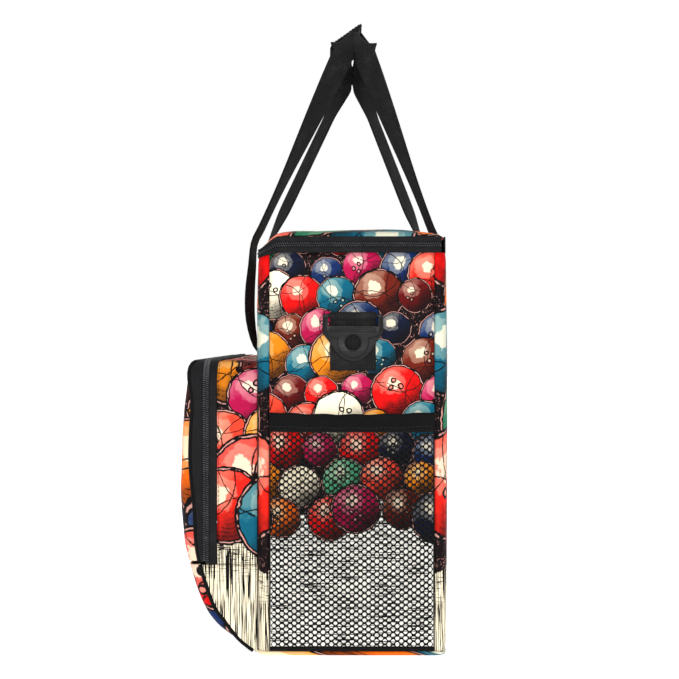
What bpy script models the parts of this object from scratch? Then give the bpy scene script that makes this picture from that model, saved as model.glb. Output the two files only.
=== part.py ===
"""A printed sports tote with a zipped lid, a front pocket, two mesh end pockets and two webbing handles.

Metres, +Z up. The origin is the centre of the main body's base. The front pocket is towards -X, the back
towards +X, and the two end panels are at -Y (near) and +Y (far).
"""

import math

import bmesh
import bpy
from mathutils import Euler, Vector

GAP = 0.0003  # clearance between pieces that touch
WELD = 1e-6  # vertices closer than this are one
NEAR, FAR = -1, 1

# Main body
HALF_DEPTH = 0.0785
HALF_LENGTH = 0.200
CORNER = 0.008
SHELL = 0.002
CORNER_WRAP = 0.010  # how far the front and back panels wrap onto the ends
BOTTOM_THICK = 0.0035
BOARD_THICK = 0.0024
LINING_THICK = 0.001

# Zip band round the rim: rim tape, two rows of coil, lid tape
BAND_LOW, BAND_HIGH = 0.334, 0.347
TAPE_TO_COIL = 0.0048
COIL_THICK = 0.0016
BAND_END = 0.0735  # where the zip stops, short of the back
HINGE_STRIP_HALF = 0.186
LID_CROWN = 0.008
LID_OPEN_PIVOT = Vector((HALF_DEPTH, 0, BAND_HIGH))

# Mesh pocket on each end
NET_HALF = 0.0675
NET_LOW, NET_HIGH = 0.0042, 0.1885
NET_THICK = 0.0012
NET_MOUTH, NET_BELLY = 0.0055, 0.0085  # stand-off from the panel at the mouth and half way down
BINDING_HEIGHT = 0.0127

# Webbing anchor and moulded strap loop on each end
ANCHOR_X = 0.0008
WEBBING_WIDE = 0.038
ANCHOR_LOW = 0.236
LOOP_AXIS_Z = 0.2815
LOOP_AXIS_OUT = 0.0045  # from the end panel to the loop's bar
ROLL_OUTER, ROLL_INNER = 0.0030, 0.00195
LOOP_THICK = 0.0022
LOOP_HALF = 0.0250

# Front pocket
POCKET_HALF = 0.195
POCKET_TOP = 0.2445
POCKET_CORNER = 0.020
POCKET_WALL = 0.0012
GUSSET_END = -0.1122
INNER_TAPE = (-0.1125, -0.1188)
INNER_COIL = (-0.1191, -0.1214)
OUTER_COIL = (-0.1217, -0.1240)
OUTER_TAPE_START = -0.1243
SPLIT_LOW, SPLIT_HIGH = 0.0747, 0.0765  # seam between the fixed lower part and the flap
PIPING_RADIUS = 0.0019
FLAP_PIVOT = Vector((-0.1335, 0, 0.0756))
POCKET_PROFILE = [
    (-0.1296, 0.2445), (-0.1347, 0.2400), (-0.1380, 0.2280), (-0.1405, 0.2110), (-0.1425, 0.1800),
    (-0.1425, 0.1560), (-0.1397, 0.1270), (-0.1338, 0.0850), (-0.1213, 0.0436), (-0.1104, 0.0270),
    (-0.0978, 0.0140), (-0.0869, 0.0060), (-0.0795, 0.0012),
]
FRONT_CROWN = 0.0083
FRONT_INSET = 0.0044  # from the pocket's outline to the front's edge, inside the piping

# Handles
STRAP_WIDE, STRAP_THICK = 0.025, 0.0016
STRAP_GATHERED = 0.018  # where it bends over into the grip
STRAP_Y = 0.069
LEG_TOP_Y = 0.0755
PAD_HALF = 0.058
PAD_THICK = 0.003

# Zip sliders
SLIDER_LONG, SLIDER_WIDE, SLIDER_THICK = 0.011, 0.0085, 0.0030
PULLER_LONG, PULLER_WIDE, PULLER_THICK = 0.026, 0.0070, 0.0014

COLOURS = {  # colour, roughness, metallic
    "print": ((0.42, 0.10, 0.07), 0.70, 0.0),
    "print_lid": ((0.55, 0.20, 0.10), 0.70, 0.0),
    "lining": ((0.06, 0.06, 0.07), 0.80, 0.0),
    "board": ((0.10, 0.10, 0.10), 0.60, 0.0),
    "webbing": ((0.018, 0.018, 0.020), 0.75, 0.0),
    "zip_tape": ((0.022, 0.022, 0.025), 0.80, 0.0),
    "zip_coil": ((0.030, 0.030, 0.033), 0.45, 0.0),
    "net": ((0.025, 0.025, 0.028), 0.70, 0.0),
    "moulded": ((0.030, 0.030, 0.034), 0.40, 0.0),
    "slider": ((0.030, 0.030, 0.032), 0.35, 0.8),
    "padding": ((0.020, 0.020, 0.022), 0.80, 0.0),
}
PLANES = {  # turns a flat outline's own axes to the two world axes it is drawn in
    "XY": Euler((0, 0, 0)),
    "XZ": Euler((math.pi / 2, 0, 0)),
    "YZ": Euler((math.pi / 2, 0, math.pi / 2)),
}


def clear_scene():
    for obj in list(bpy.data.objects):
        bpy.data.objects.remove(obj, do_unlink=True)


def material(name):
    found = bpy.data.materials.get(name)
    if found:
        return found
    colour, roughness, metallic = COLOURS[name]
    made = bpy.data.materials.new(name)
    made.use_nodes = True
    shader = made.node_tree.nodes["Principled BSDF"]
    shader.inputs["Base Color"].default_value = (*colour, 1)
    shader.inputs["Roughness"].default_value = roughness
    shader.inputs["Metallic"].default_value = metallic
    return made


def add(name, data, look):
    obj = bpy.data.objects.new(name, data)
    data.materials.append(material(look))
    PARTS.objects.link(obj)
    return obj


def from_bmesh(name, mesh_in_progress, look):
    bmesh.ops.recalc_face_normals(mesh_in_progress, faces=mesh_in_progress.faces)
    data = bpy.data.meshes.new(name)
    mesh_in_progress.to_mesh(data)
    mesh_in_progress.free()
    return add(name, data, look)


def on_pivot(pivot, *objs):
    """Parents the objects to the pivot's empty without moving them."""
    for obj in objs:
        obj.parent = pivot
        obj.location = obj.location - pivot.location


def pivot_empty(name, place):
    empty = bpy.data.objects.new(name, None)
    empty.location = place
    PARTS.objects.link(empty)
    return empty


def plate(name, outlines, plane, low, high, look):
    """Fills flat outlines (the later ones are holes) and extrudes them from low to high."""
    curve = bpy.data.curves.new(name, "CURVE")
    curve.dimensions = "2D"
    curve.fill_mode = "BOTH"
    curve.extrude = abs(high - low) / 2
    for outline in outlines:
        spline = curve.splines.new("POLY")
        spline.points.add(len(outline) - 1)
        for point, (u, v) in zip(spline.points, outline):
            point.co = (u, v, 0, 1)
        spline.use_cyclic_u = True
    flat = bpy.data.objects.new(name, curve)
    PARTS.objects.link(flat)
    bpy.context.view_layer.update()
    filled = bpy.data.meshes.new_from_object(flat.evaluated_get(bpy.context.evaluated_depsgraph_get()))
    bpy.data.objects.remove(flat)
    made = bmesh.new()
    made.from_mesh(filled)
    bmesh.ops.remove_doubles(made, verts=made.verts, dist=WELD)
    obj = from_bmesh(name, made, look)
    obj.rotation_euler = PLANES[plane]
    normal_axis = {"XY": 2, "XZ": 1, "YZ": 0}[plane]
    obj.location[normal_axis] = (low + high) / 2
    return obj


def box(name, low, high, look):
    made = bmesh.new()
    bmesh.ops.create_cube(made, size=1)
    middle = (Vector(low) + Vector(high)) / 2
    size = Vector(high) - Vector(low)
    for vert in made.verts:
        vert.co = Vector([middle[k] + vert.co[k] * size[k] for k in range(3)])
    return from_bmesh(name, made, look)


def ribbon(name, stations, thick, look):
    """Lofts a flat strap through stations of (centre, direction across the strap, width)."""
    made = bmesh.new()
    rings = []
    for i, (centre, across, width) in enumerate(stations):
        before, after = stations[max(i - 1, 0)][0], stations[min(i + 1, len(stations) - 1)][0]
        along = (after - before).normalized()
        across = (across - along * across.dot(along)).normalized()
        out = along.cross(across)
        corners = [(-1, -1), (1, -1), (1, 1), (-1, 1)]
        rings.append([
            made.verts.new(centre + across * (a * width / 2) + out * (b * thick / 2)) for a, b in corners
        ])
    for ring, following in zip(rings, rings[1:]):
        for k in range(4):
            made.faces.new((ring[k], ring[(k + 1) % 4], following[(k + 1) % 4], following[k]))
    made.faces.new(rings[0])
    made.faces.new(rings[-1])
    return from_bmesh(name, made, look)


def tube(name, points, radius, look, sides=2):
    curve = bpy.data.curves.new(name, "CURVE")
    curve.dimensions = "3D"
    curve.bevel_depth = radius
    curve.bevel_resolution = sides
    curve.use_fill_caps = True
    spline = curve.splines.new("POLY")
    spline.points.add(len(points) - 1)
    for point, place in zip(spline.points, points):
        point.co = (*place, 1)
    return add(name, curve, look)


def sheet(name, rows, thick, look):
    """A grid of points, given row by row, thickened away from its face normals."""
    made = bmesh.new()
    verts = [[made.verts.new(place) for place in row] for row in rows]
    for row, following in zip(verts, verts[1:]):
        for k in range(len(row) - 1):
            made.faces.new((row[k], row[k + 1], following[k + 1], following[k]))
    data = bpy.data.meshes.new(name)
    made.to_mesh(data)
    made.free()
    obj = add(name, data, look)
    solidify = obj.modifiers.new("thickness", "SOLIDIFY")
    solidify.thickness = thick
    solidify.offset = -1
    return obj


def arc(centre, radius, start, end, steps=4):
    """Points on an arc, angles in degrees."""
    angles = [math.radians(start + (end - start) * i / steps) for i in range(steps + 1)]
    return [(centre[0] + radius * math.cos(a), centre[1] + radius * math.sin(a)) for a in angles]


def smooth(points, per_span=3):
    """Catmull-Rom curve through the points."""
    points = [Vector(p) for p in points]
    padded = [points[0] * 2 - points[1], *points, points[-1] * 2 - points[-2]]
    found = []
    for a, b, c, d in zip(padded, padded[1:], padded[2:], padded[3:]):
        for i in range(per_span):
            t = i / per_span
            linear = b * 2 + (c - a) * t
            square = (a * 2 - b * 5 + c * 4 - d) * t**2
            cube = (b * 3 - a - c * 3 + d) * t**3
            found.append((linear + square + cube) / 2)
    return found + [points[-1]]


def ease(low, high, value):
    t = min(max((value - low) / (high - low), 0), 1)
    return t * t * (3 - 2 * t)


# ---------------------------------------------------------------- main body


def rounded_rect(half_x, half_y, radius):
    x, y = half_x - radius, half_y - radius
    outline = []
    for quarter, (cx, cy) in enumerate([(x, y), (-x, y), (-x, -y), (x, -y)]):
        outline += arc((cx, cy), radius, 90 * quarter, 90 * quarter + 90)
    return outline


def wrapped_panel(name, side, look):
    """The front (-1) or back (+1) panel: a wall whose ends turn the corners onto the bag's ends."""
    x, y = HALF_DEPTH - CORNER, HALF_LENGTH - CORNER
    wrap_end = HALF_DEPTH - CORNER_WRAP
    outer = [(wrap_end, -HALF_LENGTH)] + arc((x, -y), CORNER, -90, 0)
    outer += arc((x, y), CORNER, 0, 90) + [(wrap_end, HALF_LENGTH)]
    inner = [(wrap_end, -HALF_LENGTH + SHELL)] + arc((x, -y), CORNER - SHELL, -90, 0)
    inner += arc((x, y), CORNER - SHELL, 0, 90) + [(wrap_end, HALF_LENGTH - SHELL)]
    outline = [(side * u, v) for u, v in outer + inner[::-1]]
    return plate(name, [outline], "XY", BOTTOM_THICK + GAP, BAND_LOW - GAP, look)


def rim_band(name, low, high, inset, thick, look):
    """A U-shaped band along one end, the front and the other end, open at the back."""
    x, y = HALF_DEPTH - inset, HALF_LENGTH - inset
    outer = [(BAND_END, -y)] + arc((-x + CORNER, -y + CORNER), CORNER, -90, -180)
    outer += arc((-x + CORNER, y - CORNER), CORNER, 180, 90) + [(BAND_END, y)]
    rounding = CORNER - thick
    inner = [(BAND_END, -y + thick)] + arc((-x + CORNER, -y + CORNER), rounding, -90, -180)
    inner += arc((-x + CORNER, y - CORNER), rounding, 180, 90) + [(BAND_END, y - thick)]
    return plate(name, [outer + inner[::-1]], "XY", low, high, look)


def make_lining():
    """A thin tub, open at the top, inside the panels and on the board."""
    low = BOTTOM_THICK + BOARD_THICK + 2 * GAP
    outline = rounded_rect(HALF_DEPTH - SHELL - GAP, HALF_LENGTH - SHELL - GAP, CORNER - SHELL - GAP)
    made = bmesh.new()
    floor = [made.verts.new((x, y, low)) for x, y in outline]
    top = [made.verts.new((x, y, BAND_LOW - GAP)) for x, y in outline]
    made.faces.new(floor[::-1])
    for k in range(len(outline)):
        following = (k + 1) % len(outline)
        made.faces.new((floor[k], floor[following], top[following], top[k]))
    data = bpy.data.meshes.new("lining")
    bmesh.ops.remove_doubles(made, verts=made.verts, dist=WELD)
    made.to_mesh(data)
    made.free()
    obj = add("lining", data, "lining")
    solidify = obj.modifiers.new("thickness", "SOLIDIFY")
    solidify.thickness = LINING_THICK
    solidify.offset = -1
    return obj


def make_body():
    plate("bottom_panel", [rounded_rect(HALF_DEPTH, HALF_LENGTH, CORNER)], "XY", 0, BOTTOM_THICK, "print")
    board = rounded_rect(HALF_DEPTH - SHELL - 2 * GAP, HALF_LENGTH - SHELL - 2 * GAP, CORNER - SHELL)
    plate("base_board", [board], "XY", BOTTOM_THICK + GAP, BOTTOM_THICK + GAP + BOARD_THICK, "board")
    wrapped_panel("front_panel", -1, "print")
    wrapped_panel("back_panel", 1, "print")
    wall_half = HALF_DEPTH - CORNER_WRAP - GAP
    for end, word in ((NEAR, "near"), (FAR, "far")):
        faces = sorted((end * HALF_LENGTH, end * (HALF_LENGTH - SHELL)))
        low, high = BOTTOM_THICK + GAP, BAND_LOW - GAP
        box(f"end_panel_{word}", (-wall_half, faces[0], low), (wall_half, faces[1], high), "print")
    make_lining()
    middle = (BAND_LOW + BAND_HIGH) / 2
    rim_band("rim_tape", BAND_LOW, BAND_LOW + TAPE_TO_COIL - GAP, 0, SHELL, "zip_tape")
    rim_band("rim_coil", BAND_LOW + TAPE_TO_COIL, middle - GAP / 2, 0.0002, COIL_THICK, "zip_coil")
    strip_inner = HALF_DEPTH - 0.0017
    box("hinge_strip", (strip_inner, -HINGE_STRIP_HALF, BAND_LOW),
        (HALF_DEPTH, HINGE_STRIP_HALF, BAND_HIGH - GAP), "zip_tape")


def make_lid():
    middle = (BAND_LOW + BAND_HIGH) / 2
    pivot = pivot_empty("lid_pivot", LID_OPEN_PIVOT)
    coil = rim_band("lid_coil", middle + GAP / 2, BAND_HIGH - TAPE_TO_COIL, 0.0002, COIL_THICK, "zip_coil")
    tape = rim_band("lid_tape", BAND_HIGH - TAPE_TO_COIL + GAP, BAND_HIGH, 0, SHELL, "zip_tape")
    half_x, half_y, top = HALF_DEPTH - 0.0015, HALF_LENGTH - 0.0010, BAND_HIGH + GAP + SHELL
    rows = []
    for i in range(17):
        across = -math.cos(math.pi * i / 16)
        row = []
        for k in range(9):
            along = -math.cos(math.pi * k / 8)
            crown = LID_CROWN * (1 - along**4) * (1 - across**8)
            row.append((along * half_x, across * half_y, top + crown))
        rows.append(row)
    panel = sheet("lid_panel", rows, SHELL, "print_lid")
    on_pivot(pivot, coil, tape, panel)


# ---------------------------------------------------------------- ends


def net_offset(across, height):
    """How far the net stands off the end panel: nothing at its sewn edges, most at its belly."""
    side = 1 - abs(across) ** 6
    rise = ease(0, 0.30, height)
    return side * rise * (NET_BELLY + (NET_MOUTH - NET_BELLY) * ease(0.35, 1.0, height))


def make_mesh_pocket(end, word):
    rows = []
    for i in range(9):
        height = i / 8
        row = []
        for k in range(13):
            across = -math.cos(math.pi * k / 12)
            out = HALF_LENGTH + GAP + NET_THICK + net_offset(across, height)
            row.append((end * -across * NET_HALF, end * out, NET_LOW + (NET_HIGH - NET_LOW) * height))
        rows.append(row)
    sheet(f"mesh_pocket_{word}", rows, NET_THICK, "net")
    stations = []
    middle = NET_HIGH + GAP + BINDING_HEIGHT / 2
    for k in range(13):
        across = -math.cos(math.pi * k / 12)
        out = HALF_LENGTH + GAP + 0.0009 + net_offset(across, 1)
        stations.append((Vector((across * NET_HALF, end * out, middle)), Vector((0, 0, 1)), BINDING_HEIGHT))
    ribbon(f"mesh_binding_{word}", stations, 0.0018, "webbing")


def make_anchor(end, word):
    """The webbing patch, rolled at its top round the bar of the moulded loop, which hangs from it."""
    plane_y = end * HALF_LENGTH
    roll = arc((plane_y + end * LOOP_AXIS_OUT, LOOP_AXIS_Z), ROLL_OUTER, 180 if end > 0 else 0,
               -90 if end > 0 else 270, 9)
    face = plane_y + end * (GAP + 0.0014)
    outline = [(plane_y + end * GAP, ANCHOR_LOW), (plane_y + end * GAP, LOOP_AXIS_Z + 0.0012)]
    outline += roll + [(face, LOOP_AXIS_Z - 0.0040), (face, ANCHOR_LOW)]
    hole = arc((plane_y + end * LOOP_AXIS_OUT, LOOP_AXIS_Z), ROLL_INNER, 0, 330, 11)
    x = ANCHOR_X
    half = WEBBING_WIDE / 2
    plate(f"anchor_tab_{word}", [outline, hole], "YZ", x - half, x + half, "webbing")

    bar_half = 0.0013
    window_half = LOOP_HALF - 0.0045
    top, window_low = LOOP_AXIS_Z + bar_half, LOOP_AXIS_Z - 0.0086
    shape = [(-LOOP_HALF + 0.002, top), (-LOOP_HALF, top - 0.003), (-LOOP_HALF, 0.2665), (-0.0185, 0.2590)]
    shape += arc((0, 0.2592), 0.0160, 205, 335, 8)
    shape += [(0.0185, 0.2590), (LOOP_HALF, 0.2665), (LOOP_HALF, top - 0.003), (LOOP_HALF - 0.002, top)]
    window = [(-window_half, window_low), (window_half, window_low),
              (window_half, LOOP_AXIS_Z - bar_half), (-window_half, LOOP_AXIS_Z - bar_half)]
    eye = arc((0, 0.2592), 0.0062, 0, 330, 11)
    outlines = [[(x + u, v) for u, v in outline] for outline in (shape, window, eye)]
    middle_y = plane_y + end * LOOP_AXIS_OUT
    loop = plate(f"strap_loop_{word}", outlines, "XZ", middle_y - LOOP_THICK / 2, middle_y + LOOP_THICK / 2,
                 "moulded")
    on_pivot(pivot_empty(f"strap_loop_{word}_pivot", (x, middle_y, LOOP_AXIS_Z)), loop)


# ---------------------------------------------------------------- front pocket


def profile_point(z, points):
    """X of the pocket's outline at height z, on straight runs between the points."""
    for (x_high, z_high), (x_low, z_low) in zip(points, points[1:]):
        if z_low <= z <= z_high:
            return x_low + (x_high - x_low) * (z - z_low) / (z_high - z_low)
    return points[-1][0]


def crown_at(z):
    return FRONT_CROWN * ease(0.242, 0.205, z) * (0.60 + 0.40 * ease(0.075, 0.130, z)) * ease(0.0, 0.030, z)


def half_width(z, inset):
    """The pocket's half length along Y at height z, with its rounded top corners."""
    radius = POCKET_CORNER - inset
    over = z - (POCKET_TOP - POCKET_CORNER)
    if over <= 0:
        return POCKET_HALF - inset
    return POCKET_HALF - POCKET_CORNER + math.sqrt(max(radius**2 - over**2, 0))


def pocket_arch(inset, low):
    """Points (y, z) up one side of the pocket, across its top and down the other."""
    y, z, radius = POCKET_HALF - POCKET_CORNER, POCKET_TOP - POCKET_CORNER, POCKET_CORNER - inset
    side = [low + (z - low) * i / 5 for i in range(5)]
    points = [(-y - radius, v) for v in side] + arc((-y, z), radius, 180, 90)
    points += arc((y, z), radius, 90, 0) + [(y + radius, v) for v in side[::-1]]
    return points


def pocket_band(name, low, look, back, front):
    """A band that follows the pocket's arch, from X = back to front, an X or a function of the height."""
    stations = []
    for y, z in pocket_arch(POCKET_WALL / 2, low):
        front_x = front(z) if callable(front) else front
        middle = Vector(((back + front_x) / 2, y, z))
        stations.append((middle, Vector((1, 0, 0)), abs(back - front_x)))
    return ribbon(name, stations, POCKET_WALL, look)


def pocket_front(name, heights):
    """The crowned front: a sheet inside the piping, bulging forward between its edges."""
    rows = []
    for x, z in heights:
        half = half_width(z, FRONT_INSET)
        row = []
        for k in range(11):
            across = -math.cos(math.pi * k / 10)
            bulge = crown_at(z) * (1 - across**6)
            row.append((x + crown_at(z) - bulge, -across * half, z))
        rows.append(row)
    return sheet(name, rows, 0.0018, "print")


def make_pocket():
    outline = [(p.x, p.z) for p in smooth([(x, 0, z) for x, z in POCKET_PROFILE], 2)]

    def piping_x(z):
        return profile_point(z, outline) + crown_at(z)

    def tape_front(z):
        return min(piping_x(z) + PIPING_RADIUS + GAP, OUTER_TAPE_START - 0.0005)

    gusset_start = -HALF_DEPTH - 2 * GAP
    pocket_band("pocket_gusset_upper", SPLIT_LOW + GAP, "print", gusset_start, GUSSET_END)
    pocket_band("pocket_tape_inner", SPLIT_LOW + GAP, "zip_tape", *INNER_TAPE)
    pocket_band("pocket_coil_inner", SPLIT_LOW + GAP, "zip_coil", *INNER_COIL)
    pivot = pivot_empty("flap_pivot", FLAP_PIVOT)
    coil = pocket_band("pocket_coil_outer", SPLIT_HIGH, "zip_coil", *OUTER_COIL)
    tape = pocket_band("pocket_tape_outer", SPLIT_HIGH, "zip_tape", OUTER_TAPE_START, tape_front)

    upper = [(x, z) for x, z in outline if z > SPLIT_HIGH + 0.002]
    upper.append((profile_point(SPLIT_HIGH, outline), SPLIT_HIGH))
    lower = [(x, z) for x, z in outline if z < SPLIT_LOW - 0.002]
    lower.insert(0, (profile_point(SPLIT_LOW, outline), SPLIT_LOW))
    front = pocket_front("pocket_front_upper", [(x, z) for x, z in upper if z < POCKET_TOP - FRONT_INSET])
    pocket_front("pocket_front_lower", lower)

    arch = pocket_arch(PIPING_RADIUS, SPLIT_HIGH)
    route = [(piping_x(z), y, z) for y, z in arch]
    piping = tube("pocket_piping_upper", route, PIPING_RADIUS, "webbing", 1)
    on_pivot(pivot, coil, tape, front, piping)

    side_y = POCKET_HALF - PIPING_RADIUS
    for end, word in ((NEAR, "near"), (FAR, "far")):
        lowest = PIPING_RADIUS + GAP
        route = [(x + crown_at(z), end * side_y, max(z, lowest)) for x, z in lower if x < -0.083]
        tube(f"pocket_piping_lower_{word}", route, PIPING_RADIUS, "webbing", 1)
        inside = PIPING_RADIUS + 2 * GAP
        edge = [(x + crown_at(z) + inside, z + PIPING_RADIUS * 0.6) for x, z in lower[1:]]
        edge = [(x, z) for x, z in edge if x < gusset_start - 0.001]
        start = (edge[0][0] - 0.0012, SPLIT_LOW)
        wall = [(gusset_start, SPLIT_LOW), start, *edge, (gusset_start, edge[-1][1] - 0.001)]
        faces = sorted((end * POCKET_HALF, end * (POCKET_HALF - POCKET_WALL)))
        plate(f"pocket_gusset_lower_{word}", [wall], "XZ", *faces, "print")


# ---------------------------------------------------------------- handles

FRONT = {
    "word": "front",
    "foot": Vector((-0.0905, STRAP_Y, 0.3517)),
    "head": Vector((-0.0072, LEG_TOP_Y, 0.5280)),
    "grip_low": Vector((-0.0155, 0, 0.5360)),
    "grip_across": Vector((0.700, 0, 0.713)),
    "lean": 1,
    "sewn": [(-0.0812, 0.2465), (-0.0890, 0.2560), (-0.0940, 0.2800), (-0.0945, 0.3050), (-0.0925, 0.3300),
             (-0.0908, 0.3460)],
}
BACK = {
    "word": "back",
    "foot": Vector((0.0811, STRAP_Y, 0.3517)),
    "head": Vector((0.0140, LEG_TOP_Y, 0.5260)),
    "grip_low": Vector((0.0215, 0, 0.5350)),
    "grip_across": Vector((-0.680, 0, 0.733)),
    "lean": -1,
    "sewn": [(0.0797, 0.2000), (0.0799, 0.2600), (0.0803, 0.3200), (0.0808, 0.3460)],
}

# From the head over into the grip: Y, then how far towards the grip in place and in direction
BEND = [(0.0738, 0.50, 0.10), (0.0705, 0.85, 0.40), (0.0655, 1.0, 0.75), (0.0600, 1.0, 1.0)]


def mirrored(place, end):
    return Vector((place[0], end * place[1], place[2]))


def leg_stations(handle, end):
    """From the foot up to the head. The strap twists so that it can bend over into the grip."""
    foot, head = mirrored(handle["foot"], end), mirrored(handle["head"], end)
    along = (head - foot).normalized()
    sideways = Vector((0, -end, 0))
    edge_on = Vector((abs(along.z) * handle["lean"], 0, -abs(along.x))).normalized()
    stations = []
    for i in range(9):
        t = i / 8
        twist = math.radians(8 + 42 * ease(0.0, 1.0, t))
        across = sideways * math.cos(twist) + edge_on * math.sin(twist)
        stations.append((foot.lerp(head, t), across, STRAP_WIDE))
    return stations


def make_handle(handle):
    word = handle["word"]
    near, far = leg_stations(handle, NEAR), leg_stations(handle, FAR)
    grip_middle = handle["grip_low"] + handle["grip_across"] * (STRAP_WIDE / 2)
    head = handle["head"]
    bend = []
    for y, lift, share in BEND:
        centre = Vector((head.x, y, head.z)).lerp(Vector((grip_middle.x, y, grip_middle.z)), lift)
        across = near[-1][1].lerp(handle["grip_across"], share)
        width = STRAP_GATHERED + (STRAP_WIDE - STRAP_GATHERED) * max(0, 2 * share - 1)
        bend.append((centre, across, width))
    near_bend = [(mirrored(c, NEAR), a, w) for c, a, w in bend]
    far_bend = [(c, mirrored(a, -1), w) for c, a, w in bend[::-1]]
    strap = ribbon(f"{word}_handle", near + near_bend + far_bend + far[::-1], STRAP_THICK, "webbing")
    pivot = pivot_empty(f"{word}_handle_pivot", (handle["foot"].x, 0, 0.350))
    on_pivot(pivot, strap)
    for end, side in ((NEAR, "near"), (FAR, "far")):
        route = smooth([(x, 0, z) for x, z in handle["sewn"]], 2)
        stations = [(Vector((p.x, end * STRAP_Y, p.z)), Vector((0, 1, 0)), STRAP_WIDE) for p in route]
        ribbon(f"{word}_strap_{side}", stations, STRAP_THICK, "webbing")
    return pivot


def pad(name, handle, start, length, drop, look):
    """A padded plate over the grip, from start along the grip's slope."""
    slope = handle["grip_across"].normalized()
    outward = Vector((-slope.z, 0, slope.x)) * handle["lean"]
    centre = handle["grip_low"] + slope * (start + length / 2) + outward * drop
    ends = [(centre + Vector((0, y, 0)), slope, length) for y in (-PAD_HALF, PAD_HALF)]
    return ribbon(name, ends, PAD_THICK, look)


def make_grips(front_pivot, back_pivot):
    above = STRAP_THICK / 2 + GAP + PAD_THICK / 2
    back_pad = pad("back_grip_pad", BACK, 0, 0.024, above, "padding")
    on_pivot(back_pivot, back_pad)
    front_pad = pad("front_grip_pad", FRONT, 0.0010, 0.0215, -above, "padding")
    on_pivot(front_pivot, front_pad)
    flap = pad("grip_flap", FRONT, 0, 0.038, above, "padding")
    hinge = pivot_empty("grip_flap_pivot", FRONT["grip_low"] + Vector((-0.0019, 0, 0.0018)))
    on_pivot(hinge, flap)


# ---------------------------------------------------------------- zip sliders


def make_main_slider():
    """On the far run of the rim zip, parked at its back end. Its tab lies along the zip."""
    start = Vector((0.0670, HALF_LENGTH + GAP, (BAND_LOW + BAND_HIGH) / 2))
    half = Vector((SLIDER_LONG, 0, SLIDER_WIDE)) / 2
    slider = box("main_slider", start - half, start + half + Vector((0, SLIDER_THICK, 0)), "slider")
    out = start.y + SLIDER_THICK + GAP
    tab = box("main_puller", (start.x - PULLER_LONG, out, start.z - PULLER_WIDE / 2),
              (start.x, out + PULLER_THICK, start.z + PULLER_WIDE / 2), "slider")
    on_pivot(pivot_empty("main_slider_start", start), slider)
    on_pivot(pivot_empty("main_puller_pivot", (start.x, out + PULLER_THICK / 2, start.z)), tab)


def make_pocket_slider():
    """On the far run of the pocket zip, parked at its foot. Its tab hangs down."""
    start = Vector(((INNER_COIL[0] + OUTER_COIL[1]) / 2, POCKET_HALF + GAP, SPLIT_HIGH + 0.009))
    half = Vector((SLIDER_WIDE, 0, SLIDER_LONG)) / 2
    slider = box("pocket_slider", start - half, start + half + Vector((0, SLIDER_THICK, 0)), "slider")
    out = start.y + SLIDER_THICK + GAP
    tab = box("pocket_puller", (start.x - PULLER_WIDE / 2, out, start.z - PULLER_LONG),
              (start.x + PULLER_WIDE / 2, out + PULLER_THICK, start.z), "slider")
    on_pivot(pivot_empty("pocket_slider_start", start), slider)
    on_pivot(pivot_empty("pocket_puller_pivot", (start.x, out + PULLER_THICK / 2, start.z)), tab)


clear_scene()
PARTS = bpy.data.collections.new("bowling_ball_bag")
bpy.context.scene.collection.children.link(PARTS)
make_body()
make_lid()
for END, WORD in ((NEAR, "near"), (FAR, "far")):
    make_mesh_pocket(END, WORD)
    make_anchor(END, WORD)
make_pocket()
make_grips(make_handle(FRONT), make_handle(BACK))
make_main_slider()
make_pocket_slider()
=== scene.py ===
import math
from random import Random

import bmesh
import bpy
from mathutils import Matrix, Vector, noise


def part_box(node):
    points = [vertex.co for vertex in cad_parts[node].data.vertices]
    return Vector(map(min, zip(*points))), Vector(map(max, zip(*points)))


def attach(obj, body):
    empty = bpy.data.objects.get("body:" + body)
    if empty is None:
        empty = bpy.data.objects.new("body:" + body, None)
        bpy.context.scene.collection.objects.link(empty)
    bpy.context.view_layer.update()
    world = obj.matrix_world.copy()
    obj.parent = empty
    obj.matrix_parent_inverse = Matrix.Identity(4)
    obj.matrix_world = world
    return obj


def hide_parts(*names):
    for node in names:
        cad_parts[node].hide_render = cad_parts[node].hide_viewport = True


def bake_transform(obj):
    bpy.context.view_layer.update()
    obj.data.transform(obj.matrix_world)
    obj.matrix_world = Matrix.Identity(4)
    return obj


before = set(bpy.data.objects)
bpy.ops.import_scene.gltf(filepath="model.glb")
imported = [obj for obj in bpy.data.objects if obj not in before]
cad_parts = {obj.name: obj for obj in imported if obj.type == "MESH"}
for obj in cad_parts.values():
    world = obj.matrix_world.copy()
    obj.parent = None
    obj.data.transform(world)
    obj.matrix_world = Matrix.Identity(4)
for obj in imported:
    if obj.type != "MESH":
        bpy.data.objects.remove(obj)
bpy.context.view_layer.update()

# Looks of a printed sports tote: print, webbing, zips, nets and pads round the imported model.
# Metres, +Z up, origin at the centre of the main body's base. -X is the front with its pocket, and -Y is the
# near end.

ENDS = ((-1, "near"), (1, "far"))
MM = 0.001


def size_of(node):
    low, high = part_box(node)
    return low, high, high - low


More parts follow.
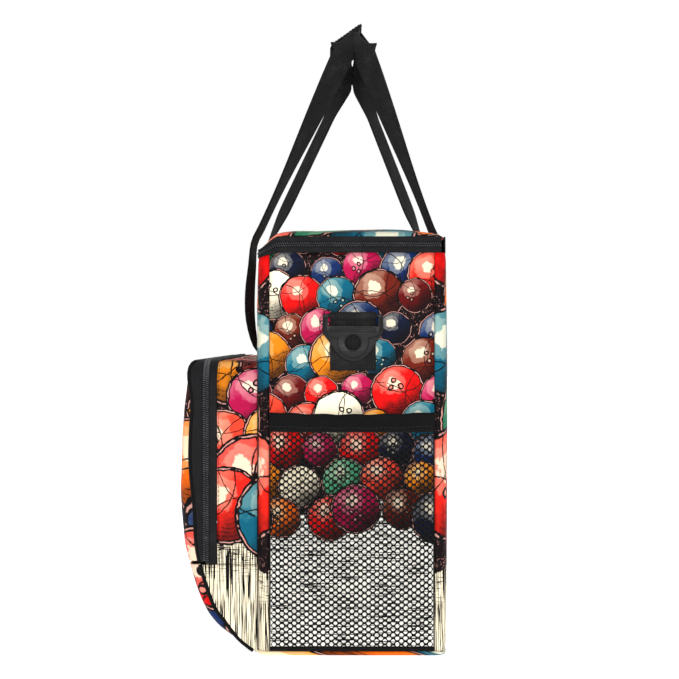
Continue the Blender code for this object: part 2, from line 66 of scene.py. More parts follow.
# Main sizes, most of them read from the imported model
FRONT_LOW, FRONT_HIGH, _ = size_of("front_panel")
END_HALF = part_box("end_panel_near")[1].x
HALF_DEPTH = -FRONT_LOW.x
HALF_LENGTH = FRONT_HIGH.y
CORNER = 8 * MM
WRAP_END = -FRONT_HIGH.x  # where the corner wraps end, and the end panels begin
SHELL_LOW, SHELL_HIGH = FRONT_LOW.z, FRONT_HIGH.z
BAND_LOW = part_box("rim_tape")[0].z
BAND_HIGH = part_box("lid_tape")[1].z
BAND_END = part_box("rim_tape")[1].x
POCKET_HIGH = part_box("pocket_gusset_upper")[1]
POCKET_HALF = POCKET_HIGH.y
POCKET_TOP = POCKET_HIGH.z
POCKET_CORNER = 20 * MM
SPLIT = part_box("pocket_tape_outer")[0].z
NET_LOW, NET_HIGH, _ = size_of("mesh_pocket_near")
STRAP_WIDE = 25 * MM
PRINT_THICK = 0.0014
COIL_PITCH = 0.0018
COIL_MARGIN = 0.001  # bare tape at the end of a row of teeth


def linear(red, green, blue):
    """An 8-bit screen colour as the linear one that shaders take."""
    return tuple((c / 255 / 12.92) if c <= 10 else ((c / 255 + 0.055) / 1.055) ** 2.4
                 for c in (red, green, blue))


RED, CORAL, SALMON = linear(222, 38, 36), linear(226, 84, 66), linear(228, 120, 98)
MAROON, BROWN = linear(140, 34, 40), linear(150, 78, 56)
ORANGE, AMBER, YELLOW = linear(232, 150, 40), linear(226, 168, 62), linear(228, 190, 90)
MINT, GREEN, TEAL = linear(128, 190, 162), linear(84, 158, 132), linear(30, 140, 158)
BLUE, NAVY = linear(58, 92, 138), linear(52, 66, 98)
MAGENTA, PURPLE = linear(196, 50, 122), linear(98, 46, 92)
FLOOR = (0.98, 0.97, 0.93)
CREAM, PINK, INK = linear(240, 234, 218), linear(232, 196, 188), linear(36, 26, 34)
GROUND, GROUND_LIGHT = linear(46, 30, 40), linear(96, 58, 66)


# ---------------------------------------------------------------- node helpers


class Tree:
    """Short calls for building one shader."""

    def __init__(self, name, roughness=0.7, metallic=0.0):
        self.material = bpy.data.materials.new(name)
        self.material.use_nodes = True
        self.nodes = self.material.node_tree.nodes
        self.links = self.material.node_tree.links
        self.shader = self.nodes["Principled BSDF"]
        self.set(self.shader, "Roughness", roughness)
        self.set(self.shader, "Metallic", metallic)
        self.set(self.shader, "Specular IOR Level", 0.18)

    def set(self, node, key, value):
        if isinstance(value, bpy.types.NodeSocket):
            self.links.new(value, node.inputs[key])
        elif value is not None:
            socket = node.inputs[key]
            if socket.type == "RGBA" and len(value) == 3:
                value = (*value, 1)
            socket.default_value = value

    def node(self, kind, inputs=None, **settings):
        made = self.nodes.new(kind)
        for key, value in settings.items():
            setattr(made, key, value)
        for key, value in (inputs or {}).items():
            self.set(made, key, value)
        return made

    def math(self, operation, a, b=None, c=None, clamp=False):
        made = self.node("ShaderNodeMath", {0: a, 1: b, 2: c}, operation=operation, use_clamp=clamp)
        return made.outputs[0]

    def vector(self, operation, a, b=None, scale=None):
        made = self.node("ShaderNodeVectorMath", {0: a, 1: b}, operation=operation)
        if scale is not None:
            self.set(made, "Scale", scale)
        return made.outputs["Value" if operation in ("LENGTH", "DISTANCE", "DOT_PRODUCT") else "Vector"]

    def mix(self, factor, a, b):
        made = self.node("ShaderNodeMix", data_type="RGBA")
        for key, value in ((0, factor), (6, a), (7, b)):
            self.set(made, key, value)
        return made.outputs[2]

    def mix_vector(self, factor, a, b):
        made = self.node("ShaderNodeMix", data_type="VECTOR")
        for key, value in ((0, factor), (4, a), (5, b)):
            self.set(made, key, value)
        return made.outputs[1]

    def step(self, value, low, high):
        """0 below low and 1 above high, smooth between; low above high turns it round."""
        made = self.node("ShaderNodeMapRange", {0: value, 1: low, 2: high, 3: 0.0, 4: 1.0},
                         interpolation_type="SMOOTHSTEP", clamp=True)
        return made.outputs[0]

    def noise(self, vector, scale, detail=2.0, roughness=0.5, distortion=0.0):
        made = self.node("ShaderNodeTexNoise", {"Vector": vector, "Scale": scale, "Detail": detail,
                         "Roughness": roughness, "Distortion": distortion})
        return made.outputs[0]

    def uv(self):
        return self.node("ShaderNodeUVMap", uv_map="art").outputs[0]

    def place(self):
        return self.node("ShaderNodeTexCoord").outputs["Object"]

    def stretch(self, vector, x, y, z=1.0):
        return self.vector("MULTIPLY", vector, (x, y, z))

    def split(self, vector):
        made = self.node("ShaderNodeSeparateXYZ", {0: vector})
        return made.outputs[0], made.outputs[1], made.outputs[2]

    def combine(self, x=0.0, y=0.0, z=0.0):
        return self.node("ShaderNodeCombineXYZ", {0: x, 1: y, 2: z}).outputs[0]

    def bump(self, height, distance, strength=1.0, below=None):
        made = self.node("ShaderNodeBump", {"Height": height, "Distance": distance, "Strength": strength})
        if below is not None:
            self.set(made, "Normal", below)
        return made.outputs[0]

    def finish(self, colour, roughness=None, normal=None):
        self.set(self.shader, "Base Color", colour)
        self.set(self.shader, "Roughness", roughness)
        self.set(self.shader, "Normal", normal)
        return self.material


# ---------------------------------------------------------------- the print

PILE_COLOURS = (RED, MINT, AMBER, CORAL, NAVY, MAGENTA, ORANGE, MAROON, TEAL, SALMON, CREAM, BLUE, RED, GREEN,
                BROWN)


def ball_pile(seed, columns, width, low, high, radius, repeats=False):
    """Balls as ((x, y, radius), colour) in millimetres: staggered rows with some play, the front row last."""
    random = Random(seed)
    pitch = width / columns
    rows = round((high - low) / (pitch * 0.8))
    balls = []
    for row in range(rows + 1):
        y = high - (high - low) * row / rows
        for column in range(columns):
            x = (column + 0.25 + 0.5 * (row % 2)) * pitch + random.uniform(-0.16, 0.16) * pitch
            place = (x, y + random.uniform(-0.14, 0.14) * pitch, radius * random.uniform(0.72, 1.18))
            colour = PILE_COLOURS[(row * 4 + column * 7 + random.randrange(3)) % len(PILE_COLOURS)]
            balls.append((place, colour))
            if repeats and x < place[2] * 1.2:
                balls.append(((x + width, *place[1:]), colour))
            if repeats and x > width - place[2] * 1.2:
                balls.append(((x - width, *place[1:]), colour))
    return balls


def winner(tree, art, balls):
    """The ball in front at each place: its unit coordinates, its colour, and whether there is one."""
    local, colour, found = (0.0, 0.0, 0.0), GROUND, 0.0
    for (x, y, radius), ball_colour in balls:
        offset = tree.vector("SUBTRACT", art, (x, y, 0))
        inside = tree.math("LESS_THAN", tree.vector("LENGTH", offset), float(radius))
        unit = tree.vector("SCALE", offset, scale=1 / radius)
        tagged = tree.vector("ADD", unit, (0, 0, (x * 7 + y * 3) % 11 + 1))
        local = tree.mix_vector(inside, local, tagged)
        colour = tree.mix(inside, colour, ball_colour)
        found = tree.math("MAXIMUM", found, inside)
    return local, colour, found


def line_at(tree, value, middle, half_width):
    """1 on a thin line where value is near middle."""
    away = tree.math("ABSOLUTE", tree.math("SUBTRACT", value, middle))
    return tree.step(away, half_width * 1.6, half_width * 0.5)


def painted_ball(tree, local, colour, rough_noise, fine_noise):
    """Watercolour and ink on one ball: highlight, shade, drawn arcs, finger holes and outline."""
    x, y, tag = tree.split(local)
    spot = tree.combine(x, y)
    radius = tree.vector("LENGTH", spot)
    pale = tree.mix(0.72, colour, CREAM)
    deep = tree.mix(0.72, colour, INK)

    light = tree.vector("DOT_PRODUCT", spot, (-0.50, 0.72, 0))
    light = tree.math("ADD", light, tree.math("MULTIPLY", tree.math("SUBTRACT", rough_noise, 0.5), 0.9))
    shade = tree.mix(tree.step(light, 0.05, -0.52), colour, tree.mix(0.50, colour, INK))
    shade = tree.mix(tree.step(light, -0.42, -0.75), shade, deep)
    shade = tree.mix(tree.math("MULTIPLY", tree.step(light, 0.25, 0.65), 0.35), shade, pale)

    from_glow = tree.vector("DISTANCE", spot, (-0.20, 0.30, 0))
    ragged = tree.math("ADD", from_glow, tree.math("MULTIPLY", tree.math("SUBTRACT", rough_noise, 0.5), 0.55))
    shade = tree.mix(tree.math("MULTIPLY", tree.step(ragged, 0.50, 0.42), 0.42), shade, pale)
    glow = tree.mix(0.85, colour, CREAM)
    shade = tree.mix(tree.step(ragged, 0.26, 0.20), shade, glow)

    turned = tree.node("ShaderNodeVectorRotate", {"Vector": spot, "Angle": tree.math("MULTIPLY", tag, 0.57)},
                       rotation_type="Z_AXIS").outputs[0]
    lines = line_at(tree, tree.vector("DISTANCE", turned, (1.0, 0.15, 0)), 1.02, 0.016)
    for centre, reach, width in (((-1.35, 0.5, 0), 1.55, 0.014), ((0.1, -1.6, 0), 1.32, 0.012)):
        away = tree.vector("DISTANCE", turned, centre)
        lines = tree.math("MAXIMUM", lines, line_at(tree, away, reach, width))
    hatch = tree.math("SINE", tree.math("MULTIPLY", radius, 58.0))
    hatch = tree.math("MULTIPLY", tree.step(hatch, 0.45, 0.8), tree.step(light, -0.22, -0.42))
    hatch = tree.math("MULTIPLY", hatch, tree.step(fine_noise, 0.42, 0.55))
    broken = tree.step(fine_noise, 0.30, 0.44)
    lines = tree.math("MAXIMUM", tree.math("MULTIPLY", lines, broken), tree.math("MULTIPLY", hatch, 0.8))
    shade = tree.mix(tree.math("MULTIPLY", lines, 0.88), shade, INK)

    hole = 10.0
    for centre in ((0.10, 0.28, 0), (0.36, 0.24, 0), (0.22, -0.06, 0)):
        hole = tree.math("MINIMUM", hole, tree.vector("DISTANCE", turned, centre))
    drilled = tree.math("GREATER_THAN", tree.math("SINE", tree.math("MULTIPLY", tag, 2.3)), 0.1)
    ring = tree.math("MULTIPLY", tree.step(hole, 0.115, 0.095), drilled)
    core = tree.math("MULTIPLY", tree.step(hole, 0.060, 0.045), drilled)
    shade = tree.mix(ring, shade, INK)
    shade = tree.mix(core, shade, tree.mix(0.5, colour, CREAM))

    wander = tree.math("MULTIPLY", tree.math("SUBTRACT", rough_noise, 0.5), 0.10)
    edge = tree.math("ADD", radius, wander)
    shade = tree.mix(tree.step(edge, 0.885, 0.905), shade, INK)
    rim_light = tree.math("MULTIPLY", tree.step(edge, 0.925, 0.935), tree.step(edge, 0.965, 0.955))
    rim_light = tree.math("MULTIPLY", rim_light, tree.step(rough_noise, 0.42, 0.50))
    shade = tree.mix(tree.math("MULTIPLY", rim_light, 0.8), shade, PINK)
    return shade


def hatched_ground(tree, art, rough_noise, fine_noise, floor_top, slope):
    """Dark scribbled ground between the balls, and a pale floor with ink strokes below them."""
    scribble = line_at(tree, rough_noise, 0.50, 0.016)
    second = line_at(tree, tree.noise(art, 0.30, 1.0), 0.52, 0.018)
    ground = tree.mix(tree.step(fine_noise, 0.45, 0.70), GROUND, GROUND_LIGHT)
    ground = tree.mix(tree.math("MULTIPLY", tree.math("MULTIPLY", scribble, second), 0.8), ground, PINK)
    side, raw_height, _ = tree.split(art)
    height = tree.math("ADD", raw_height, tree.math("MULTIPLY", side, -slope))
    lean = (0.03, 1.0) if slope else (1.0, 0.020)
    strokes = tree.noise(tree.stretch(art, *lean), 1.1, 2.0)
    pale = FLOOR if slope else CREAM
    first = 0.562 if slope else 0.502
    floor = tree.mix(tree.step(strokes, first, first + 0.035), pale, INK)
    shadow = tree.noise(tree.stretch(art, 0.10, 1.1), 1.0, 2.0)
    under = tree.step(height, floor_top - 42, floor_top)
    cast = tree.math("MULTIPLY", tree.step(shadow, 0.54, 0.60), under)
    floor = tree.mix(tree.math("MULTIPLY", cast, 0.85), floor, INK)
    wavy_top = tree.math("ADD", height, tree.math("MULTIPLY", tree.math("SUBTRACT", rough_noise, 0.5), 30.0))
    return tree.mix(tree.step(wavy_top, floor_top - 1, floor_top + 1), floor, ground)


def print_fabric(name, balls, floor_top, slope=0.0, period=None):
    """Printed woven polyester. The art map is in metres; the drawing is in millimetres."""
    tree = Tree(name)
    flat = tree.vector("SCALE", tree.uv(), scale=1000.0)
    if period:
        x, y, _ = tree.split(flat)
        flat = tree.combine(tree.math("WRAP", x, period, 0.0), y)
    shake = tree.node("ShaderNodeTexNoise", {"Vector": flat, "Scale": 0.16, "Detail": 1.0}).outputs[1]
    shake = tree.vector("SUBTRACT", shake, (0.5, 0.5, 0.5))
    art = tree.vector("ADD", flat, tree.vector("SCALE", shake, scale=2.4))
    art = tree.stretch(art, 1, 1, 0)
    rough_noise = tree.noise(flat, 0.09, 3.0, 0.6)
    fine_noise = tree.noise(flat, 0.45, 2.0, 0.6)
    local, colour, found = winner(tree, art, balls)
    ball = painted_ball(tree, local, colour, rough_noise, fine_noise)
    ground = hatched_ground(tree, flat, rough_noise, fine_noise, floor_top, slope)
    printed = tree.mix(found, ground, ball)
    blotch = tree.noise(flat, 0.7, 3.0, 0.7)
    printed = tree.mix(tree.math("MULTIPLY", tree.step(blotch, 0.55, 0.80), 0.08), printed, CREAM)

    x, y, _ = tree.split(flat)
    thread = 2 * math.pi / 0.8
    across = tree.math("SINE", tree.math("MULTIPLY", x, thread))
    along = tree.math("SINE", tree.math("MULTIPLY", y, thread))
    weave = tree.math("MULTIPLY", across, along)
    printed = tree.mix(tree.math("MULTIPLY", tree.step(weave, 0.2, 1.0), 0.06), printed, INK)
    printed = tree.node("ShaderNodeGamma", {"Color": printed, "Gamma": 1.92}).outputs[0]
    crease = tree.noise(flat, 0.02, 2.0, 0.5)
    normal = tree.bump(crease, 0.0020, 0.25, tree.bump(weave, 0.00006, 0.6))
    roughness = tree.math("ADD", 0.56, tree.math("MULTIPLY", fine_noise, 0.22))
    tree.set(tree.shader, "Sheen Weight", 0.01)
    tree.set(tree.shader, "Specular IOR Level", 0.09)
    return tree.finish(printed, roughness, normal)


# ---------------------------------------------------------------- plain materials


def woven_black(name, tone, rib, herring=True, worn=0.5):
    """Ribbed webbing or tape: u across, v along, in metres."""
    tree = Tree(name, 0.75)
    u, v, _ = tree.split(tree.uv())
    across = tree.math("MULTIPLY", u, 2 * math.pi / rib)
    zigzag = tree.math("ABSOLUTE", tree.math("SINE", tree.math("MULTIPLY", across, 0.25)))
    shift = tree.math("MULTIPLY", zigzag, 3.0)
    along = tree.math("MULTIPLY", v, 2 * math.pi / (rib * 0.75))
    pattern = tree.math("SINE", tree.math("ADD", along, shift if herring else across))
    cords = tree.math("SINE", across)
    height = tree.math("ADD", tree.math("MULTIPLY", pattern, 0.5), tree.math("MULTIPLY", cords, 0.5))
    dust = tree.noise(tree.uv(), 60.0, 4.0, 0.6)
    fuzz = tree.noise(tree.stretch(tree.uv(), 1.0, 0.3), 1500.0, 2.0)
    hollow_shade = tuple(c * 0.45 for c in tone)
    bright = tuple(min(1, c * 2.2) for c in tone)
    # painted shade: the colour falls to under half the tone in the low grooves of the weave, where the bump
    # sinks
    colour = tree.mix(tree.step(height, -0.7, 0.6), hollow_shade, tone)
    colour = tree.mix(tree.math("MULTIPLY", tree.step(dust, 0.45, 0.75), worn), colour, bright)
    colour = tree.mix(tree.math("MULTIPLY", tree.step(fuzz, 0.5, 0.8), 0.35), colour, bright)
    normal = tree.bump(height, rib * 0.16, 0.8, tree.bump(dust, 0.0006, 0.3))
    roughness = tree.math("ADD", 0.58, tree.math("MULTIPLY", fuzz, 0.25))
    tree.set(tree.shader, "Sheen Weight", 0.01)
    tree.set(tree.shader, "Specular IOR Level", 0.06)
    return tree.finish(colour, roughness, normal)


def moulded_plastic(name, tone, grain=0.00012, metallic=0.0, base_roughness=0.38):
    tree = Tree(name, base_roughness, metallic)
    place = tree.place()
    texture = tree.noise(place, 2200.0, 3.0, 0.6)
    smear = tree.noise(place, 90.0, 3.0)
    bright = tuple(min(1, c * 1.9) for c in tone)
    colour = tree.mix(tree.math("MULTIPLY", tree.step(smear, 0.45, 0.72), 0.5), tone, bright)
    uneven = tree.math("MULTIPLY", tree.math("SUBTRACT", smear, 0.5), 0.35)
    roughness = tree.math("ADD", base_roughness, uneven)
    tree.set(tree.shader, "Specular IOR Level", 0.09)
    return tree.finish(colour, roughness, tree.bump(texture, grain, 0.35))


def plain_cloth(name, tone, thread=0.0009):
    """Plain weave for lining, pads and net threads, in object space."""
    tree = Tree(name, 0.85)
    x, y, z = tree.split(tree.place())
    turn = 2 * math.pi / thread
    warp = tree.math("SINE", tree.math("MULTIPLY", tree.math("ADD", x, y), turn))
    slanted = tree.math("SUBTRACT", z, tree.math("MULTIPLY", y, 0.5))
    weft = tree.math("SINE", tree.math("MULTIPLY", slanted, turn))
    weave = tree.math("MULTIPLY", warp, weft)
    mottled = tree.noise(tree.place(), 150.0, 4.0, 0.65)
    hollow_shade, bright = tuple(c * 0.55 for c in tone), tuple(min(1, c * 1.9) for c in tone)
    # painted shade: the colour falls to about half the tone in the low points of the weave, where the bump
    # sinks
    colour = tree.mix(tree.step(weave, -0.5, 0.7), hollow_shade, tone)
    colour = tree.mix(tree.math("MULTIPLY", tree.step(mottled, 0.45, 0.75), 0.5), colour, bright)
    tree.set(tree.shader, "Sheen Weight", 0.015)
    tree.set(tree.shader, "Specular IOR Level", 0.06)
    roughness = tree.math("ADD", 0.68, tree.math("MULTIPLY", mottled, 0.25))
    return tree.finish(colour, roughness, tree.bump(weave, thread * 0.2, 0.6))


LOOKS = {}


def make_looks():
    repeat = 157.0
    end_pile = ball_pile(11, 5, repeat, 118, 345, 20.0, True)
    big_pile = ball_pile(23, 7, 440, 100, 340, 42.0)
    pocket_pile = ball_pile(5, 2, 84, 118, 240, 34.0)
    LOOKS["ends"] = print_fabric("print_ends", end_pile, 112.0, 0.20, repeat)
    LOOKS["big"] = print_fabric("print_large", big_pile, 70.0)
    LOOKS["pocket"] = print_fabric("print_pocket", pocket_pile, 92.0)
    LOOKS["webbing"] = woven_black("webbing", (0.011, 0.011, 0.0115), 0.0022)
    LOOKS["tape"] = woven_black("zip_tape", (0.011, 0.011, 0.012), 0.0011, False, 0.3)
    LOOKS["binding"] = woven_black("elastic_binding", (0.004, 0.004, 0.0045), 0.0013, False, 0.2)
    LOOKS["coil"] = moulded_plastic("coil_nylon", (0.060, 0.060, 0.064), 0.00005, 0.0, 0.30)
    LOOKS["moulded"] = moulded_plastic("moulded_loop", (0.005, 0.005, 0.0055))
    LOOKS["slider"] = moulded_plastic("slider_metal", (0.030, 0.030, 0.032), 0.00004, 0.7, 0.30)
    LOOKS["net"] = plain_cloth("net_thread", (0.006, 0.006, 0.006), 0.0006)
    LOOKS["pad"] = plain_cloth("pad_cloth", (0.011, 0.011, 0.012), 0.0012)
    LOOKS["lining"] = plain_cloth("lining_cloth", (0.035, 0.036, 0.042), 0.0010)
    LOOKS["board"] = plain_cloth("board_cover", (0.05, 0.05, 0.055), 0.0014)
    LOOKS["thread"] = plain_cloth("sewing_thread", (0.018, 0.018, 0.019), 0.0005)


# ---------------------------------------------------------------- shape helpers


def ease(low, high, value):
    t = min(max((value - low) / (high - low), 0), 1)
    return t * t * (3 - 2 * t)


def finish_piece(obj, look, body, replaced=(), slot=None):
    obj.data.materials.clear()
    obj.data.materials.append(LOOKS[look])
    if body:
        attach(obj, body)
    if replaced:
        obj.name = f"{replaced[0]}_visual"
        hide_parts(*replaced)
    return obj


def mesh_object(name, made, smooth_below=50):
    """Turns a bmesh into an object in the scene, shaded smooth except at sharp edges."""
    data = bpy.data.meshes.new(name)
    made.to_mesh(data)
    made.free()
    data.shade_smooth()
    data.set_sharp_from_angle(angle=math.radians(smooth_below))
    obj = bpy.data.objects.new(name, data)
    bpy.context.scene.collection.objects.link(obj)
    return obj


def grid_object(name, rows, uv_rows, closed=False):
    """A grid of points with its art map; rows run one way and the points of a row the other."""
    made = bmesh.new()
    layer = made.loops.layers.uv.new("art")
    verts = [[made.verts.new(p) for p in row] for row in rows]
    for i in range(len(rows) - 1):
        for k in range(len(rows[0]) - (0 if closed else 1)):
            j = (k + 1) % len(rows[0])
            face = made.faces.new((verts[i][k], verts[i][j], verts[i + 1][j], verts[i + 1][k]))
            along = k + 1 if closed else j
            spots = ((i, k), (i, along), (i + 1, along), (i + 1, k))
            for loop, (a, b) in zip(face.loops, spots):
                loop[layer].uv = uv_rows[a][b]
    return mesh_object(name, made)


def thicken(obj, thickness, offset=-1):
    solid = obj.modifiers.new("thickness", "SOLIDIFY")
    solid.thickness = thickness
    solid.offset = offset


def line_inside(obj, name, depth, body, blend=None):
    """A thin lining a little inside an open sheet, made before the sheet is thickened."""
    data = obj.data.copy()
    normals = [n.vector.copy() for n in data.vertex_normals]
    under = bpy.data.objects.new(name, data)
    bpy.context.scene.collection.objects.link(under)
    for vert, normal in zip(data.vertices, normals):
        vert.co -= normal * depth
    thicken(under, 0.0004)
    finish_piece(under, "lining", body, (), "lining")
    if blend:
        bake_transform(under)
    return under


def settle(obj, pinned, pressure, cap, frames=18, stiffness=20.0):
    """Lets a sheet swell between its pinned vertices as cloth, and keeps that shape, moved by cap at most."""
    group = obj.vertex_groups.new(name="pinned")
    group.add(pinned, 1.0, "REPLACE")
    cloth = obj.modifiers.new("cloth", "CLOTH")
    settings = cloth.settings
    settings.quality = 6
    settings.mass = 0.25
    settings.tension_stiffness = settings.compression_stiffness = stiffness
    settings.shear_stiffness = stiffness * 0.4
    settings.bending_stiffness = 1.2
    settings.use_pressure = True
    settings.uniform_pressure_force = pressure
    settings.effector_weights.gravity = 0
    settings.vertex_group_mass = "pinned"
    cloth.collision_settings.use_collision = False
    cloth.point_cache.frame_start, cloth.point_cache.frame_end = 1, frames
    scene = bpy.context.scene
    for number in range(1, frames + 1):
        scene.frame_set(number)
    evaluated = obj.evaluated_get(bpy.context.evaluated_depsgraph_get())
    moved = [v.co.copy() for v in evaluated.data.vertices]
    obj.modifiers.remove(cloth)
    obj.vertex_groups.remove(group)
    scene.frame_set(1)
    for vert, place in zip(obj.data.vertices, moved):
        step = place - vert.co
        if step.length > cap:
            step *= cap / step.length
        vert.co += step
    obj.data.update()


def edge_indices(rows, columns):
    return [i * columns + k for i in range(rows) for k in range(columns)
            if i in (0, rows - 1) or k in (0, columns - 1)]


def heading(points, i):
    """The way a path of points runs at its i-th one."""
    return (points[min(i + 1, len(points) - 1)] - points[max(i - 1, 0)]).normalized()


def strap_frames(centres, acrosses):
    """Tangent-based frames for a strap: (centre, across, out)."""
    frames = []
    for i, (centre, across) in enumerate(zip(centres, acrosses)):
        along = heading(centres, i)
        across = (across - along * across.dot(along)).normalized()
        frames.append((centre, across, along.cross(across)))
    return frames


def strap(name, centres, acrosses, widths, thick, segments=6):
    """A woven strap with rounded edges, closed, with u across and v along."""
    frames = strap_frames(centres, acrosses)
    lengths = [0.0]
    for a, b in zip(centres, centres[1:]):
        lengths.append(lengths[-1] + (b - a).length)
    rows, uv_rows = [], []
    for (centre, across, out), width, run in zip(frames, widths, lengths):
        row, uv_row = [], []
        profile = []
        for k in range(segments + 1):
            profile.append((-1 + 2 * k / segments, 1))
        profile.append((1 + thick / width, 0))
        for k in range(segments + 1):
            profile.append((1 - 2 * k / segments, -1))
        profile.append((-1 - thick / width, 0))
        for a, b in profile:
            row.append(centre + across * (a * width / 2) + out * (b * thick / 2))
            uv_row.append(((a + 1) * width / 2 + (0 if b >= 0 else 0.05), run))
        uv_row.append(uv_row[0])
        rows.append(row)
        uv_rows.append(uv_row)
    obj = grid_object(name, rows, uv_rows, closed=True)
    close_ends(obj)
    return obj


def smooth_path(points, spacing):
    """Evenly spaced points on the Catmull-Rom curve through the given ones."""
    points = [Vector(p) for p in points]
    padded = [points[0] * 2 - points[1], *points, points[-1] * 2 - points[-2]]
    fine = []
    for a, b, c, d in zip(padded, padded[1:], padded[2:], padded[3:]):
        for i in range(12):
            t = i / 12
            fine.append((b * 2 + (c - a) * t + (a * 2 - b * 5 + c * 4 - d) * t * t
                         + (b * 3 - a - c * 3 + d) * t**3) / 2)
    fine.append(points[-1])
    count = max(2, round(lengths_along(fine)[-1] / spacing))
    return evenly(fine, count + 1, count)


def evenly(points, count, steps):
    """The first count of the points that divide a polyline into equal steps."""
    run = lengths_along(points)
    found, i = [], 0
    for k in range(count):
        target = run[-1] * k / steps
        while i < len(points) - 2 and run[i + 1] < target:
            i += 1
        share = (target - run[i]) / max(run[i + 1] - run[i], 1e-9)
        found.append(Vector(points[i]).lerp(Vector(points[i + 1]), share))
    return found


def beads(name, spots, look, body, **more):
    """One mesh of small rounded blocks; each spot is (centre, long, wide, high), three half-axis vectors."""
    made = bmesh.new()
    for centre, long, wide, high in spots:
        ring = []
        for a, scale in ((-1, 0.55), (-0.6, 1), (0.6, 1), (1, 0.55)):
            ring.append([made.verts.new(centre + long * a + (wide * math.cos(t) + high * math.sin(t)) * scale)
                         for t in (math.pi * (k + 0.5) / 3 for k in range(6))])
        for low, top in zip(ring, ring[1:]):
            for k in range(6):
                made.faces.new((low[k], low[(k + 1) % 6], top[(k + 1) % 6], top[k]))
        made.faces.new(ring[0][::-1])
        made.faces.new(ring[-1])
    bmesh.ops.recalc_face_normals(made, faces=made.faces)
    return finish_piece(mesh_object(name, made), look, body, **more)


def walk(path, first, pitch, margin):
    """(place, direction, span number) at every pitch along a path, up to a margin before its end."""
    run = lengths_along(path)
    found, i, target = [], 0, first
    while target < run[-1] - margin:
        while run[i + 1] < target:
            i += 1
        share = (target - run[i]) / (run[i + 1] - run[i])
        found.append((path[i].lerp(path[i + 1], share), (path[i + 1] - path[i]).normalized(), i))
        target += pitch
    return found


def stitches(path, out, length=0.0030, gap=0.0014, radius=0.00032):
    """Thread blocks along a path of points; out is the surface's normal, one vector or one for each point."""
    spots, pitch = [], length + gap
    for place, along, i in walk(path, pitch / 2, pitch, pitch / 2):
        normal = out[i] if isinstance(out, list) else out
        side = along.cross(normal).normalized()
        spots.append((place, along * (length / 2), side * radius, normal * radius))
    return spots


def tube(name, points, radius, look, body, sides=10, **more):
    """A round cord along a path, with closed ends."""
    reference = Vector((0.31, 0.17, 0.93))
    rows, uv_rows, run = [], [], 0.0
    for i, point in enumerate(points):
        along = heading(points, i)
        side = along.cross(reference).normalized()
        up = side.cross(along)
        if i:
            run += (point - points[i - 1]).length
        angles = [2 * math.pi * k / sides for k in range(sides + 1)]
        rows.append([point + (side * math.cos(a) + up * math.sin(a)) * radius for a in angles[:-1]])
        uv_rows.append([(a * radius, run) for a in angles])
    obj = grid_object(name, rows, uv_rows, closed=True)
    close_ends(obj)
    return finish_piece(obj, look, body, **more)


def close_ends(obj):
    """Fills a tube's two open ends."""
    made = bmesh.new()
    made.from_mesh(obj.data)
    bmesh.ops.holes_fill(made, edges=[e for e in made.edges if e.is_boundary])
    bmesh.ops.recalc_face_normals(made, faces=made.faces)
    made.to_mesh(obj.data)
    made.free()
    obj.data.shade_smooth()
    obj.data.set_sharp_from_angle(angle=math.radians(60))


def facing(obj, outward):
    """Turns an open grid's faces over if they don't face outward."""
    total = Vector()
    for face in obj.data.polygons:
        total += face.normal * face.area
    if total.dot(Vector(outward)) < 0:
        obj.data.flip_normals()
    return obj


def arc(centre, radius, start, end, steps=8):
    angles = [math.radians(start + (end - start) * i / steps) for i in range(steps + 1)]
    return [(centre[0] + radius * math.cos(a), centre[1] + radius * math.sin(a)) for a in angles]


def divided(points, spacing):
    """The same polyline with points at most spacing apart."""
    found = [points[0]]
    for a, b in zip(points, points[1:]):
        count = max(1, math.ceil((Vector(b) - Vector(a)).length / spacing))
        found += [tuple(Vector(a).lerp(Vector(b), i / count)) for i in range(1, count + 1)]
    return found


def lengths_along(points):
    run = [0.0]
    for a, b in zip(points, points[1:]):
        run.append(run[-1] + (Vector(b) - Vector(a)).length)
    return run


def moulded_plate(name, outlines, middle, thick, round_edge, look, body, **more):
    """A flat moulding with holes and rounded edges, drawn in XZ and centred on Y = middle."""
    curve = bpy.data.curves.new(name, "CURVE")
    curve.dimensions = "2D"
    curve.fill_mode = "BOTH"
    curve.extrude = thick / 2 - round_edge
    curve.bevel_depth = round_edge
    curve.bevel_resolution = 3
    curve.offset = -round_edge
    for outline in outlines:
        spline = curve.splines.new("POLY")
        spline.points.add(len(outline) - 1)
        for point, (u, v) in zip(spline.points, outline):
            point.co = (u, v, 0, 1)
        spline.use_cyclic_u = True
    flat = bpy.data.objects.new(name + "_outline", curve)
    bpy.context.scene.collection.objects.link(flat)
    bpy.context.view_layer.update()
    data = bpy.data.meshes.new_from_object(flat.evaluated_get(bpy.context.evaluated_depsgraph_get()))
    bpy.data.objects.remove(flat)
    data.transform(Matrix.Rotation(math.pi / 2, 4, "X"))
    data.transform(Matrix.Translation((0, middle, 0)))
    made = bmesh.new()
    made.from_mesh(data)
    bmesh.ops.remove_doubles(made, verts=made.verts, dist=1e-6)
    bmesh.ops.recalc_face_normals(made, faces=made.faces)
    made.to_mesh(data)
    made.free()
    data.name = name
    data.shade_smooth()
    data.set_sharp_from_angle(angle=math.radians(40))
    obj = bpy.data.objects.new(name, data)
    bpy.context.scene.collection.objects.link(obj)
    return finish_piece(obj, look, body, **more)


# ---------------------------------------------------------------- main body


def droop(point):
    """The rim sinks along the front, and its zip narrows as it turns the two front corners."""
    weight = ease(0.060, HALF_DEPTH, -point.x)
    corner = ease(0.150, 0.200, abs(point.y))
    sink = 0.0040 + 0.0025 * (1 - corner)
    if point.z >= BAND_LOW:
        sink += (point.z - BAND_LOW) * 0.5 * corner
    else:
        sink *= ease(0.250, BAND_LOW, point.z)
    return Vector((point.x, point.y, point.z - sink * weight))


def wrinkle(point, size, amount, seed=0.0):
    return amount * noise.noise(Vector((point.x / size, point.y / size, point.z / size + seed)))


